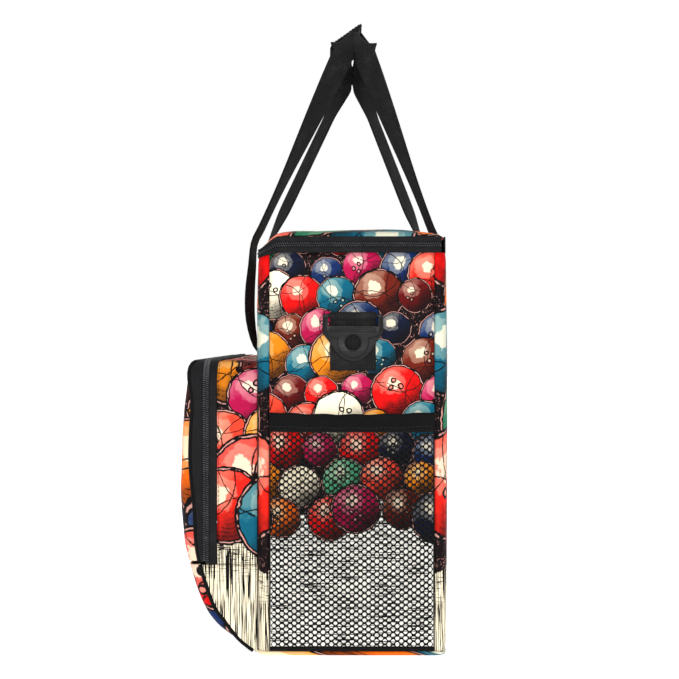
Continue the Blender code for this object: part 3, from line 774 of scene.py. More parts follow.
def body_sheet(name, path, outward, art, puff=0.0, cap=0.0):
    """A sewn upright panel over a plan path of (x, y), curled in at its seams. art(run, z) gives the map."""
    path = divided(path, 0.005)
    run = lengths_along(path)
    low, high = SHELL_LOW, SHELL_HIGH
    heights = [low + (high - low) * i / 66 for i in range(67)]
    rows, uv_rows = [], []
    for i, (x, y) in enumerate(path):
        ahead, behind = Vector(path[min(i + 1, len(path) - 1)]), Vector(path[max(i - 1, 0)])
        along = (ahead - behind).normalized()
        out = Vector((along.y, -along.x, 0))
        side = min(run[i], run[-1] - run[i])
        row = []
        for z in heights:
            place = Vector((x, y, z))
            sink = 0.0007 * (1 - ease(0, 0.0030, side))
            sink += 0.0006 * (1 - ease(0, 0.004, min(z - low, high - z)))
            sink += 0.0003 + wrinkle(place, 0.035, 0.0005, 3.1) + wrinkle(place, 0.012, 0.00018, 7.7)
            row.append(droop(place - out * sink))
        rows.append(row)
        uv_rows.append([art(run[i], z) for z in heights])
    obj = facing(grid_object(name, rows, uv_rows), outward)
    if puff:
        settle(obj, edge_indices(len(rows), len(heights)), puff, cap)
    thicken(obj, PRINT_THICK)
    finish_piece(obj, "big", "bag", (name,), "print")
    return obj, run[-1]


def make_body():
    x, y = HALF_DEPTH - CORNER, HALF_LENGTH - CORNER
    wrap = [(WRAP_END, HALF_LENGTH)] + [(u, v) for u, v in arc((-x, y), CORNER, 90, 180, 6)]
    wrap += [(u, v) for u, v in arc((-x, -y), CORNER, 180, 270, 6)] + [(WRAP_END, -HALF_LENGTH)]
    front_path = [(-abs(u), v) for u, v in wrap]
    front, front_run = body_sheet("front_panel", front_path, (-1, 0, 0),
                                  lambda run, z: (0.409 - run, z), puff=1.5, cap=0.0012)
    back_path = [(abs(u), v) for u, v in front_path[::-1]]
    back, back_run = body_sheet("back_panel", back_path, (1, 0, 0),
                                lambda run, z: (run, z), puff=2.5, cap=0.0030)
    half = END_HALF
    for end, word in ENDS:
        path = [(-half, end * HALF_LENGTH), (half, end * HALF_LENGTH)]
        if end > 0:
            path = path[::-1]
        made, _ = body_sheet(f"end_panel_{word}", path, (0, end, 0), lambda run, z: (run + 0.0103, z))
        made.data.materials[0] = LOOKS["ends"]
    make_bottom()
    make_lining()


def rounded_rect(half_x, half_y, radius, steps=6):
    x, y = half_x - radius, half_y - radius
    outline = []
    for quarter, centre in enumerate([(x, y), (-x, y), (-x, -y), (x, -y)]):
        outline += arc(centre, radius, 90 * quarter, 90 * quarter + 90, steps)
    return outline


def ring_rows(levels):
    """Rings of a rounded rectangle, one for each (half x, half y, radius, z), all with 196 points."""
    rows = []
    for half_x, half_y, radius, z in levels:
        outline = rounded_rect(half_x, half_y, radius)
        outline.append(outline[0])
        rows.append([Vector((x, y, z)) for x, y in evenly(outline, 196, 196)])
    return rows


def make_bottom():
    """The base: its printed edge rolls under, with piping round it."""
    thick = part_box("bottom_panel")[1].z
    levels = [(HALF_DEPTH - 0.0030, HALF_LENGTH - 0.0030, 0.0060, thick - 0.0002),
              (HALF_DEPTH - 0.0008, HALF_LENGTH - 0.0008, CORNER, thick - 0.0001),
              (HALF_DEPTH, HALF_LENGTH, CORNER, thick - 0.0008), (HALF_DEPTH, HALF_LENGTH, CORNER, 0.0014),
              (HALF_DEPTH - 0.0006, HALF_LENGTH - 0.0006, CORNER, 0.0004),
              (HALF_DEPTH - 0.0020, HALF_LENGTH - 0.0020, 0.0070, 0.0000)]
    levels += [(HALF_DEPTH * s, HALF_LENGTH - HALF_DEPTH * (1 - s), 0.0070 * s, 0.0002)
               for s in (0.8, 0.5, 0.2)]
    rows = ring_rows(levels)
    uv_rows = [[(p.y + 0.262, p.x * 0.6 + 0.29 + p.z * 2) for p in [*row, row[0]]] for row in rows]
    obj = grid_object("bottom_panel", rows, uv_rows, closed=True)
    close_ends(obj)
    finish_piece(obj, "big", "bag", ("bottom_panel",), "print")


def make_lining():
    """The cloth tub inside, gently creased."""
    low, high, _ = size_of("lining")
    levels, inset = [], 0.0008
    top_x, top_y = high.x - inset, high.y - inset
    for i in range(31):
        z = high.z + (low.z + 0.0012 - high.z) * i / 30
        levels.append((top_x, top_y, 0.0055, z))
    levels += [(top_x - d, top_y - d, 0.0050, low.z + 0.0006) for d in (0.002, 0.02, 0.04, 0.06)]
    rows = []
    for row in ring_rows(levels):
        fresh = []
        for p in row:
            inward = Vector((-p.x / top_x, -p.y / top_y, 0)) if p.z > low.z + 0.002 else Vector((0, 0, 1))
            amount = abs(wrinkle(p, 0.030, 0.0022, 1.7)) * ease(high.z, high.z - 0.02, p.z)
            fresh.append(droop(p + inward * amount))
        rows.append(fresh)
    uv_rows = [[(0.0, 0.0) for _ in range(len(row) + 1)] for row in rows]
    obj = grid_object("lining", rows, uv_rows, closed=True)
    close_ends(obj)
    obj.data.flip_normals()
    thicken(obj, 0.0006, offset=0)
    finish_piece(obj, "lining", "bag", ("lining",), "lining")


def rim_path(inset):
    """Plan path of the zip: along the near end, round the front and back along the far end."""
    x, y = HALF_DEPTH - inset, HALF_LENGTH - inset
    path = [(BAND_END + 0.0006, -y)] + arc((-x + CORNER, -y + CORNER), CORNER, -90, -180)
    return path + arc((-x + CORNER, y - CORNER), CORNER, 180, 90) + [(BAND_END + 0.0006, y)]


def rim_strip(name, inset, low, high, wider, thick, segments):
    """A strip of tape round the rim, from low to high."""
    path = divided(rim_path(inset), 0.006)
    centres = [Vector((x, y, (low + high) / 2)) for x, y in path]
    count = len(path)
    obj = strap(name, centres, [Vector((0, 0, 1))] * count, [high - low + wider] * count, thick, segments)
    for vert in obj.data.vertices:
        vert.co = droop(vert.co)
    return obj


def rim_strap(name, low, high, body):
    obj = rim_strip(name, 0.0009, low, high, -0.0010, 0.0013, 6)
    finish_piece(obj, "tape", body, (name,), "zip_tape")


def under_coil(name, low, high, body):
    """The tape's edge that the teeth are sewn to."""
    finish_piece(rim_strip(name, 0.0021, low, high, 0.0006, 0.0005, 3), "tape", body)


def coil_row(name, low, high, body, phase):
    """Teeth of one side of the zip, leaning over each other."""
    path = [Vector((x, y, 0)) for x, y in divided(rim_path(0.0008), 0.003)]
    spots = []
    for place, along, _ in walk(path, phase, COIL_PITCH, COIL_MARGIN):
        out = Vector((-along.y, along.x, 0))
        out = out if out.dot(place) > 0 else -out
        centre = droop(Vector((place.x, place.y, (low + high) / 2)) + out * 0.0002)
        top = droop(Vector((place.x, place.y, high)) + out * 0.0002)
        long = (top - centre) + along * 0.00025
        spots.append((centre, long, along * 0.00050, out * 0.00105))
    return beads(name, spots, "coil", body, replaced=(name,), slot="zip_coil")


def rim_out(place):
    """Which way the zip band faces: front, one end, or between them at the corner."""
    if abs(place.y) > 0.1985:
        return Vector((0, math.copysign(1, place.y), 0))
    if abs(place.y) > 0.19:
        return Vector((place.x * 2.2, place.y, 0)).normalized()
    return Vector((-1, 0, 0))


def make_rim():
    rim_tape, lid_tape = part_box("rim_tape"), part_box("lid_tape")
    rim_strap("rim_tape", rim_tape[0].z, rim_tape[1].z, "bag")
    rim_strap("lid_tape", lid_tape[0].z, lid_tape[1].z, "lid")
    low, high, _ = size_of("rim_coil")
    coil_row("rim_coil", low.z, high.z, "bag", 0.0006)
    under_coil("rim_tape_edge", low.z, high.z, "bag")
    low, high, _ = size_of("lid_coil")
    coil_row("lid_coil", low.z, high.z, "lid", 0.0015)
    under_coil("lid_tape_edge", low.z, high.z, "lid")
    for tape, z, body in (("rim", rim_tape[0].z + 0.0012, "bag"), ("lid", lid_tape[1].z - 0.0012, "lid")):
        path = [droop(Vector((x, y, z))) for x, y in divided(rim_path(0.0001), 0.004)]
        outs = [rim_out(p) for p in path]
        beads(f"{tape}_tape_stitches", stitches(path, outs), "thread", body)


def make_hinge():
    """The zip's cloth hinge at the back."""
    low, high, _ = size_of("hinge_strip")
    rows, uv_rows = [], []
    for i in range(40):
        y = low.y + (high.y - low.y) * i / 39
        row = [Vector((high.x + 0.0002, y, low.z + (high.z + 0.0012 - low.z) * k / 16)) for k in range(17)]
        rows.append(row)
        uv_rows.append([(p.z, p.y) for p in row])
    obj = facing(grid_object("hinge_strip", rows, uv_rows), (1, 0, 0))
    thicken(obj, 0.0011)
    finish_piece(obj, "tape", None, ("hinge_strip",), "webbing")
    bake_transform(obj)


def make_lid():
    low, high, _ = size_of("lid_panel")
    base = low.z + 0.002
    half_x, half_y = high.x, high.y
    rows, uv_rows = [], []
    for i in range(69):
        across = -1 + 2 * i / 68
        row, uv_row = [], []
        for k in range(33):
            along = -1 + 2 * k / 32
            crown = 0.0078 * (1 - along**4) * (1 - across**8)
            place = Vector((along * half_x, across * half_y, base + crown))
            inner = (1 - along**4) * (1 - across**8)
            place.z += (wrinkle(place, 0.045, 0.0012, 2.2) + wrinkle(place, 0.016, 0.0004, 5.0)) * inner
            if 1 in (abs(along), abs(across)):
                place.z = BAND_HIGH - 0.0006
            corner = rounded_in(place, half_x, half_y, CORNER)
            row.append(droop(corner))
            uv_row.append((place.y + 0.205, 0.235 + place.x))
        rows.append(row)
        uv_rows.append(uv_row)
    obj = facing(grid_object("lid_panel", rows, uv_rows), (0, 0, 1))
    settle(obj, edge_indices(69, 33), 1.2, 0.0014)
    under = line_inside(obj, "lid_lining", 0.0016, "lid")
    for vert in under.data.vertices:
        vert.co.x *= 0.985
        vert.co.y *= 0.994
    thicken(obj, PRINT_THICK)
    finish_piece(obj, "big", "lid", ("lid_panel",), "print")


def rounded_in(place, half_x, half_y, radius):
    """Pulls a plan point near a square corner onto the rounded one."""
    over = Vector((abs(place.x) - (half_x - radius), abs(place.y) - (half_y - radius)))
    if over.x <= 0 or over.y <= 0:
        return place
    reach = max(over.x, over.y)
    pulled = over.normalized() * reach
    return Vector((math.copysign(half_x - radius + pulled.x, place.x),
                   math.copysign(half_y - radius + pulled.y, place.y), place.z))


# ---------------------------------------------------------------- ends

NET_HALF = NET_HIGH.x + 0.0008
NET_THICK = 0.0005
LOOP_Z = 0.2815
LOOP_OUT = 0.0045


def net_offset(across, height):
    side = 1 - abs(across) ** 6
    return side * ease(0, 0.30, height) * (0.0085 + (0.0055 - 0.0085) * ease(0.35, 1.0, height))


def on_net(u, v, end, lift=0.0):
    u = max(-NET_HALF, min(NET_HALF, u))
    height = min(max((v - NET_LOW.z) / (NET_HIGH.z - NET_LOW.z), 0), 1)
    out = HALF_LENGTH + 0.0009 + net_offset(min(abs(u / NET_HALF), 1), height) + lift
    sway = 0.0006 * noise.noise(Vector((u / 0.03, v / 0.03, end * 2.0)))
    return Vector((u, end * (out + sway * ease(0, 0.1, height)), v))


def make_net(end, word):
    """Knitted mesh: a staggered net of round holes, each in its own six-sided cell."""
    step_u, step_v, hole = 0.0034, 0.0026, 0.00172
    cell = [(0.002694, 0.0), (0.0017, 0.0013), (0.000706, 0.0026), (0, 0.0026), (-0.000706, 0.0026),
            (-0.0017, 0.0013), (-0.002694, 0.0), (-0.0017, -0.0013), (-0.000706, -0.0026), (0, -0.0026),
            (0.000706, -0.0026), (0.0017, -0.0013)]
    made = bmesh.new()
    columns = int((NET_HALF - 0.0010) / step_u)
    rows = int((NET_HIGH.z - NET_LOW.z - 0.004) / step_v)
    for row in range(rows):
        for column in range(-columns, columns + 1):
            if (row + column) % 2:
                continue
            u, v = column * step_u, NET_LOW.z + 0.0030 + row * step_v
            slack = 1 + 0.10 * noise.noise(Vector((u * 400, v * 400, 0.5)))
            outer = [made.verts.new(on_net(u + a, v + b, end)) for a, b in cell]
            inner = []
            for a, b in cell:
                reach = hole * slack / math.hypot(a, b)
                inner.append(made.verts.new(on_net(u + a * reach, v + b * reach * 1.04, end)))
            for k in range(12):
                j = (k + 1) % 12
                made.faces.new((outer[k], outer[j], inner[j], inner[k]))
    for low_u, high_u, low_v, high_v in (
            (-NET_HALF, -NET_HALF + 0.0009, NET_LOW.z, NET_HIGH.z),
            (NET_HALF - 0.0009, NET_HALF, NET_LOW.z, NET_HIGH.z),
            (-NET_HALF, NET_HALF, NET_LOW.z, NET_LOW.z + 0.0038),
            (-NET_HALF, NET_HALF, NET_HIGH.z - 0.0030, NET_HIGH.z + 0.001)):
        add_patch(made, low_u, high_u, low_v, high_v, end)
    bmesh.ops.remove_doubles(made, verts=made.verts, dist=2e-5)
    obj = facing(mesh_object(f"mesh_pocket_{word}", made, 70), (0, end, 0))
    thicken(obj, NET_THICK)
    finish_piece(obj, "net", "bag", (f"mesh_pocket_{word}",), "net")


def add_patch(made, low_u, high_u, low_v, high_v, end):
    """A solid strip of the net's own cloth."""
    across, up = max(2, round((high_u - low_u) / 0.0030)), max(2, round((high_v - low_v) / 0.0030))
    verts = []
    for i in range(across + 1):
        u = low_u + (high_u - low_u) * i / across
        spots = [(u, low_v + (high_v - low_v) * k / up) for k in range(up + 1)]
        verts.append([made.verts.new(on_net(*spot, end, 0.00004)) for spot in spots])
    for i in range(across):
        for k in range(up):
            made.faces.new((verts[i][k], verts[i + 1][k], verts[i + 1][k + 1], verts[i][k + 1]))


def make_binding(end, word):
    low, high, _ = size_of(f"mesh_binding_{word}")
    centres, points = [], 48
    for i in range(points + 1):
        across = -1 + 2 * i / points
        out = HALF_LENGTH + 0.0012 + net_offset(abs(across), 1)
        sag = 0.0016 * (1 - across * across) + 0.0004 * math.sin(i * 0.7)
        centres.append(Vector((across * NET_HALF, end * out, (low.z + high.z) / 2 - sag)))
    name = f"mesh_binding_{word}"
    count = len(centres)
    obj = strap(name, centres, [Vector((0, 0, 1))] * count, [high.z - low.z - 0.001] * count, 0.0017)
    finish_piece(obj, "binding", "bag", (name,), "webbing")
    out = Vector((0, end, 0))
    spots = stitches([c + out * 0.0010 + Vector((0, 0, -0.0046)) for c in centres], out, 0.0026, 0.0012)
    for x in (-NET_HALF + 0.0022, NET_HALF - 0.0022):
        y = end * (HALF_LENGTH + 0.0021)
        spots += stitches([Vector((x, y, low.z + 0.001)), Vector((x, y, high.z - 0.002))], out, 0.0022, 0.001)
    beads(f"{name}_stitches", spots, "thread", "bag")


def make_anchor(end, word):
    """The webbing patch rolled round the moulded loop's bar, sewn down in a box with a cross."""
    corner, other, _ = size_of(f"anchor_tab_{word}")
    x, low = (corner.x + other.x) / 2, corner.z
    path = [(0.0008, low), (0.0008, low + 0.02), (0.0009, LOOP_Z - 0.004)]
    path += arc((LOOP_OUT, LOOP_Z), 0.0025, 195, -90, 12)
    path += [(0.0028, LOOP_Z - 0.0034), (0.0021, LOOP_Z - 0.0060)]
    path += [(0.0021, low + 0.014), (0.0020, low + 0.002)]
    path = divided(path, 0.004)
    centres = [Vector((x, end * (HALF_LENGTH + out), z)) for out, z in path]
    name = f"anchor_tab_{word}"
    obj = strap(name, centres, [Vector((end, 0, 0))] * len(centres), [0.0368] * len(centres), 0.0010, 8)
    finish_piece(obj, "webbing", "bag", (name,), "webbing")
    out = Vector((0, end, 0))
    y = end * (HALF_LENGTH + 0.0027)
    left, right, bottom, top = x - 0.0160, x + 0.0160, low + 0.0035, low + 0.0190
    corners = [(left, bottom), (right, bottom), (right, top), (left, top), (left, bottom)]
    spots = []
    for a, b in [*zip(corners, corners[1:]), ((left, bottom), (right, top)), ((right, bottom), (left, top))]:
        spots += stitches([Vector((a[0], y, a[1])), Vector((b[0], y, b[1]))], out, 0.0024, 0.0010)
    beads(f"{name}_stitches", spots, "thread", "bag")


def make_loop(end, word):
    name = f"strap_loop_{word}"
    low, high, _ = size_of(name)
    x = (low.x + high.x) / 2
    middle = end * (HALF_LENGTH + LOOP_OUT)
    top, half = LOOP_Z + 0.0013, 0.0250
    shape = [(-half + 0.0022, top), (-half + 0.0006, top - 0.0007), (-half, top - 0.0030), (-half, 0.2680)]
    shape += [(-half + 0.0010, 0.2655), (-0.0195, 0.2598), (-0.0178, 0.2570), (-0.0152, 0.2520)]
    shape += arc((0, 0.2592), 0.0158, 215, 325, 16)
    shape += [(-u, v) for u, v in shape[7::-1]]
    slot_low, slot_high = LOOP_Z - 0.0086, LOOP_Z - 0.0013
    window = [(-0.0205, slot_low), (0.0205, slot_low), (0.0205, slot_high), (-0.0205, slot_high)]
    eye = arc((0, 0.2592), 0.0060, 0, 345, 23)
    outlines = [[(x + u, v) for u, v in outline] for outline in (shape, window, eye)]
    moulded_plate(name, outlines, middle, 0.0023, 0.0007, "moulded", name, replaced=(name,), slot="moulded")
    out = Vector((0, end * 0.0011, 0))
    for mark, points, radius in loop_ribs():
        line = [Vector((x + u, middle, v)) + out for u, v in divided(points, 0.0015)]
        tube(f"{name}_{mark}", line, radius, "moulded", name)
    ring = [Vector((x + u, middle, v)) + out * 0.7 for u, v in arc((0, 0.2592), 0.0068, 0, 352, 44)]
    tube(f"{name}_eye_lip", ring, 0.0007, "moulded", name)
    bar = [Vector((x + u / 1000, middle, LOOP_Z)) for u in range(-21, 22, 3)]
    tube(f"{name}_bar", bar, 0.0016, "moulded", name)


def loop_ribs():
    heights = (0.2712, 0.2696, 0.2680)
    ribs = [(f"rib_{i}", [(-0.0195, z), (0.0195, z)], 0.00045) for i, z in enumerate(heights)]
    sweep = [(-0.0225, 0.2675), (-0.0200, 0.2640)] + arc((0, 0.2592), 0.0128, 165, 375, 20)
    ribs.append(("sweep", sweep + [(0.0200, 0.2640), (0.0225, 0.2675)], 0.00055))
    ribs.append(("arm_left", [(-0.0228, 0.2800), (-0.0228, 0.2680)], 0.0011))
    ribs.append(("arm_right", [(0.0228, 0.2800), (0.0228, 0.2680)], 0.0011))
    return ribs


# ---------------------------------------------------------------- front pocket

PROFILE = [
    (-0.1296, 0.2445), (-0.1347, 0.2400), (-0.1380, 0.2280), (-0.1405, 0.2110), (-0.1425, 0.1800),
    (-0.1425, 0.1560), (-0.1397, 0.1270), (-0.1338, 0.0850), (-0.1213, 0.0436), (-0.1104, 0.0270),
    (-0.0978, 0.0140), (-0.0869, 0.0060), (-0.0795, 0.0012),
]
SPLIT_LOW = SPLIT - 0.0018
PIPING = 0.0019
POCKET_BACK = -HALF_DEPTH - 0.0003
GUSSET_FRONT = -0.1122


def profile_curve():
    points = smooth_path([(x, 0, z) for x, z in PROFILE], 0.0008)
    return [(p.x, p.z) for p in points]


def profile_x(z, curve):
    for (x_high, z_high), (x_low, z_low) in zip(curve, curve[1:]):
        if z_low <= z <= z_high:
            return x_low + (x_high - x_low) * (z - z_low) / max(z_high - z_low, 1e-9)
    return curve[0][0] if z > curve[0][1] else curve[-1][0]


def crown_at(z):
    return 0.0083 * ease(0.242, 0.205, z) * (0.60 + 0.40 * ease(0.075, 0.130, z)) * ease(0.0, 0.030, z)


def half_width(z, inset):
    radius = POCKET_CORNER - inset
    over = z - (POCKET_TOP - POCKET_CORNER)
    if over <= 0:
        return POCKET_HALF - inset
    return POCKET_HALF - POCKET_CORNER + math.sqrt(max(radius**2 - over**2, 0))


def pocket_arch(inset, low):
    y, z, radius = POCKET_HALF - POCKET_CORNER, POCKET_TOP - POCKET_CORNER, POCKET_CORNER - inset
    side = [low + (z - low) * i / 30 for i in range(30)]
    points = [(-y - radius, v) for v in side] + arc((-y, z), radius, 180, 90, 10)
    points += divided([(-y, z + radius), (y, z + radius)], 0.008)[1:-1]
    return points + arc((y, z), radius, 90, 0, 10) + [(y + radius, v) for v in side[::-1]]


def pocket_band(name, low, back, front, look, body, slot_name, thick=0.0010, puckered=0.0, inset=0.0002):
    """A strip over the pocket's arch, from X = back to X = front, a number or a function of the height."""
    arch = pocket_arch(inset, low)
    run = lengths_along(arch)
    rows, uv_rows = [], []
    for (y, z), walked in zip(arch, run):
        front_x = front(z) if callable(front) else front
        row, uv_row = [], []
        for k in range(13):
            share = k / 12
            place = Vector((back + (front_x - back) * share, y, z))
            side = math.copysign(POCKET_HALF - POCKET_CORNER, y)
            centre = Vector((place.x, side, min(z, POCKET_TOP - POCKET_CORNER)))
            inward = (centre - place).normalized() if (centre - place).length > 1e-6 else Vector((0, 0, -1))
            if abs(y) < POCKET_HALF - POCKET_CORNER:
                inward = Vector((0, 0, -1))
            edge = min(share, 1 - share)
            sink = 0.0004 * (1 - ease(0, 0.12, edge)) + puckered * (0.5 + wrinkle(place, 0.02, 1.0, 4.4))
            row.append(place + inward * sink)
            if look == "pocket":
                uv_row.append((place.x - GUSSET_FRONT, low + fold(walked, 0.170)))
            else:
                uv_row.append((place.x, walked))
        rows.append(row)
        uv_rows.append(uv_row)
    obj = grid_object(name, rows, uv_rows)
    outward_fix(obj)
    if look == "pocket":
        under = line_inside(obj, f"{name}_lining", 0.0013, body)
    thicken(obj, thick)
    finish_piece(obj, look, body, (name,) if slot_name else (), slot_name)
    return obj, run[-1]


def fold(value, span):
    """Runs forward and back between nothing and span, so that the art mirrors over the pocket's top."""
    value %= 2 * span
    return min(value, 2 * span - value)


def outward_fix(obj):
    """Faces of an arch point away from the pocket's middle."""
    middle = Vector((-0.11, 0, 0.12))
    total = sum(face.normal.dot(face.center - middle) * face.area for face in obj.data.polygons)
    if total < 0:
        obj.data.flip_normals()


def pocket_coil(name, low, back, front, body, phase):
    arch = [Vector((0, y, z)) for y, z in pocket_arch(0.0004, low)]
    spots = []
    for place, along, _ in walk(arch, phase, COIL_PITCH, COIL_MARGIN):
        out = Vector((0, -along.z, along.y))
        centre = Vector(((back + front) / 2, place.y, place.z)) + out * 0.0002
        long = Vector(((front - back) / 2, 0, 0)) + along * 0.0002
        spots.append((centre, long, along * 0.00050, out * 0.00100))
    return beads(name, spots, "coil", body, replaced=(name,), slot="zip_coil")


def pocket_front(name, curve, body, art_shift, bend=None):
    """The crowned front, inside the piping."""
    rows, uv_rows, run = [], [], 0.0
    for i, (x, z) in enumerate(curve):
        if i:
            run += math.hypot(x - curve[i - 1][0], z - curve[i - 1][1])
        half = half_width(z, 0.0036)
        ahead, behind = curve[min(i + 1, len(curve) - 1)], curve[max(i - 1, 0)]
        slope = Vector((ahead[0] - behind[0], 0, ahead[1] - behind[1])).normalized()
        belly = Vector((slope.z, 0, -slope.x)) * 0.0058 * ease(0.002, 0.030, z) * ease(0.190, 0.095, z)
        row, uv_row = [], []
        for k in range(61):
            across = math.sin(math.pi / 2 * math.sin(math.pi / 2 * (-1 + 2 * k / 60)))
            inner = math.sqrt(1 - (1 - min((1 - abs(across)) * half / 0.014, 1)) ** 2)
            place = Vector((x + crown_at(z) * (1 - inner), -across * half, z)) + belly * inner
            place.z = max(place.z, 0.0008)
            place.x += (wrinkle(place, 0.035, 0.0010, 9.0) + wrinkle(place, 0.014, 0.0004, 2.0)) * inner
            row.append(place)
            uv_row.append((-place.y + 0.2, art_shift - run))
        rows.append(row)
        uv_rows.append(uv_row)
    obj = facing(grid_object(name, rows, uv_rows), (-1, 0, 0))
    settle(obj, edge_indices(len(rows), 61), 1.4, 0.0016)
    under = line_inside(obj, f"{name}_lining", 0.0016, body, bend)
    thicken(obj, PRINT_THICK)
    finish_piece(obj, "big", body, (name,), "print")
    if bend:
        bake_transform(obj)
    return run


def every(items, step):
    return items[::step] + ([items[-1]] if (len(items) - 1) % step else [])


def make_pocket():
    curve = profile_curve()

    def piping_x(z):
        return profile_x(z, curve) + crown_at(z)

    def tape_front(z):
        return min(piping_x(z) + 0.0010, -0.1248)

    gusset, run = pocket_band("pocket_gusset_upper", SPLIT_LOW, POCKET_BACK, GUSSET_FRONT, "pocket", "bag",
                              "print", puckered=0.0006)
    pocket_band("pocket_tape_inner", SPLIT_LOW, -0.1123, -0.1189, "tape", "bag", "zip_tape")
    pocket_band("pocket_tape_outer", SPLIT, -0.1242, tape_front, "tape", "pocket_flap", "zip_tape")
    pocket_coil("pocket_coil_inner", SPLIT_LOW + 0.0006, -0.1190, -0.1215, "bag", 0.0006)
    pocket_coil("pocket_coil_outer", SPLIT + 0.0004, -0.1216, -0.1241, "pocket_flap", 0.0015)

    pocket_band("pocket_tape_inner_edge", SPLIT_LOW, -0.1187, -0.1215, "tape", "bag", None, 0.0004,
                inset=0.0016)
    pocket_band("pocket_tape_outer_edge", SPLIT, -0.1216, -0.1244, "tape", "pocket_flap", None, 0.0004,
                inset=0.0016)

    upper = every([(x, z) for x, z in curve if SPLIT + 0.0002 < z < POCKET_TOP - 0.0036], 5)
    lower = every([(x, z) for x, z in curve if z < SPLIT_LOW - 0.0002], 4)
    bend = ("bag", "pocket_flap", (0, 0, SPLIT + 0.001), (0, 0, SPLIT + 0.026))
    first = pocket_front("pocket_front_upper", upper, None, 0.335, bend)
    pocket_front("pocket_front_lower", lower, "bag", 0.335 - first)

    route = [Vector((piping_x(z), y, z)) for y, z in pocket_arch(PIPING, SPLIT)]
    tube("pocket_piping_upper", route, PIPING, "binding", "pocket_flap", replaced=("pocket_piping_upper",),
         slot="webbing")
    for end, word in ENDS:
        y = end * (POCKET_HALF - PIPING)
        route = [Vector((x + crown_at(z), y, max(z, PIPING + 0.0003))) for x, z in lower if x < -0.081]
        name = f"pocket_piping_lower_{word}"
        tube(name, route, PIPING, "binding", "bag", replaced=(name,), slot="webbing")
        lower_gusset(end, word, lower)
    path = [Vector((-0.1107, y, z)) for y, z in pocket_arch(-0.0001, SPLIT_LOW + 0.002)]
    outs = [Vector((0, math.copysign(1, p.y), 0)) if p.z < 0.2245 else Vector((0, 0, 1)) for p in path]
    beads("pocket_gusset_stitches", stitches(path, outs, 0.0026, 0.0012, 0.00025), "thread", "bag")


def lower_gusset(end, word, lower):
    """The sewn-shut side below the zip: cream print that narrows to the foot."""
    name = f"pocket_gusset_lower_{word}"
    edge = [(min(x + crown_at(z) + 0.0012, POCKET_BACK - 0.0004), z) for x, z in lower]
    rows, uv_rows = [], []
    for x, z in edge:
        row, uv_row = [], []
        for k in range(25):
            share = k / 24
            place = Vector((POCKET_BACK + (x - POCKET_BACK) * share, end * (POCKET_HALF - 0.0002), z))
            place.y -= end * (0.0005 + wrinkle(place, 0.02, 0.0006, 6.0) * min(1, 6 * share * (1 - share)))
            place.y -= end * 0.0007 * (1 - ease(0, 0.004, SPLIT_LOW - z))
            row.append(place)
            uv_row.append((place.x - GUSSET_FRONT, place.z))
        rows.append(row)
        uv_rows.append(uv_row)
    obj = facing(grid_object(name, rows, uv_rows), (0, end, 0))
    thicken(obj, 0.0010)
    finish_piece(obj, "pocket", "bag", (name,), "print")


# ---------------------------------------------------------------- handles

FRONT = {
    "word": "front", "foot": (-0.0905, 0.3517), "head": (-0.0072, 0.5280), "grip": (-0.0155, 0.5360),
    "across": (0.700, 0.713), "lean": 1,
    "sewn": [(-0.0812, 0.2465), (-0.0890, 0.2560), (-0.0940, 0.2800), (-0.0945, 0.3050), (-0.0925, 0.3300)],
}
BACK = {
    "word": "back", "foot": (0.0811, 0.3517), "head": (0.0140, 0.5260), "grip": (0.0215, 0.5350),
    "across": (-0.680, 0.733), "lean": -1,
    "sewn": [(0.0797, 0.2000), (0.0799, 0.2300), (0.0799, 0.2600), (0.0803, 0.3000), (0.0805, 0.3300)],
}
BEND = [(0.0742, 0.28, 0.30), (0.0710, 0.72, 0.62), (0.0660, 0.96, 0.88), (0.0600, 1.0, 1.0)]


def handle_stations(handle, far):
    """One leg's (centre, across, width), from the sewn end up to the grip, as if on the near side."""
    stations = []
    for i, (x, z) in enumerate(handle["sewn"]):
        turn = math.radians((0, 6, 14, 15, 11)[i]) if handle["lean"] > 0 else 0
        stations.append((Vector((x, -0.069, z)), Vector((math.sin(turn), math.cos(turn), 0)), STRAP_WIDE))
    foot = Vector((handle["foot"][0], -0.069, handle["foot"][1]))
    head = Vector((handle["head"][0], -0.0755, handle["head"][1]))
    along = (head - foot).normalized()
    edge_on = Vector((abs(along.z) * handle["lean"], 0, -abs(along.x))).normalized()
    for i in range(13):
        t = i / 12
        turned = 0.52 * ease(0, 0.3, t) + 0.48 * ease(0.82, 1.02, t) if far else ease(0.15, 1.1, t)
        twist = math.radians(8 + 42 * turned)
        across = Vector((0, 1, 0)) * math.cos(twist) + edge_on * math.sin(twist)
        stations.append((foot.lerp(head, t), across, STRAP_WIDE))
    grip_across = Vector((handle["across"][0], 0, handle["across"][1]))
    grip = Vector((handle["grip"][0], 0, handle["grip"][1])) + grip_across * (STRAP_WIDE / 2)
    last = stations[-1][1]
    for y, lift, share in BEND:
        centre = Vector((head.x, -y, head.z)).lerp(Vector((grip.x, -y, grip.z)), lift)
        width = 0.0225 + (STRAP_WIDE - 0.0225) * max(0, 2 * share - 1)
        stations.append((centre, last.lerp(grip_across, share), width))
    for y in (0.045, 0.030, 0.015):
        stations.append((Vector((grip.x, -y, grip.z)), grip_across, STRAP_WIDE))
    return stations, grip, grip_across


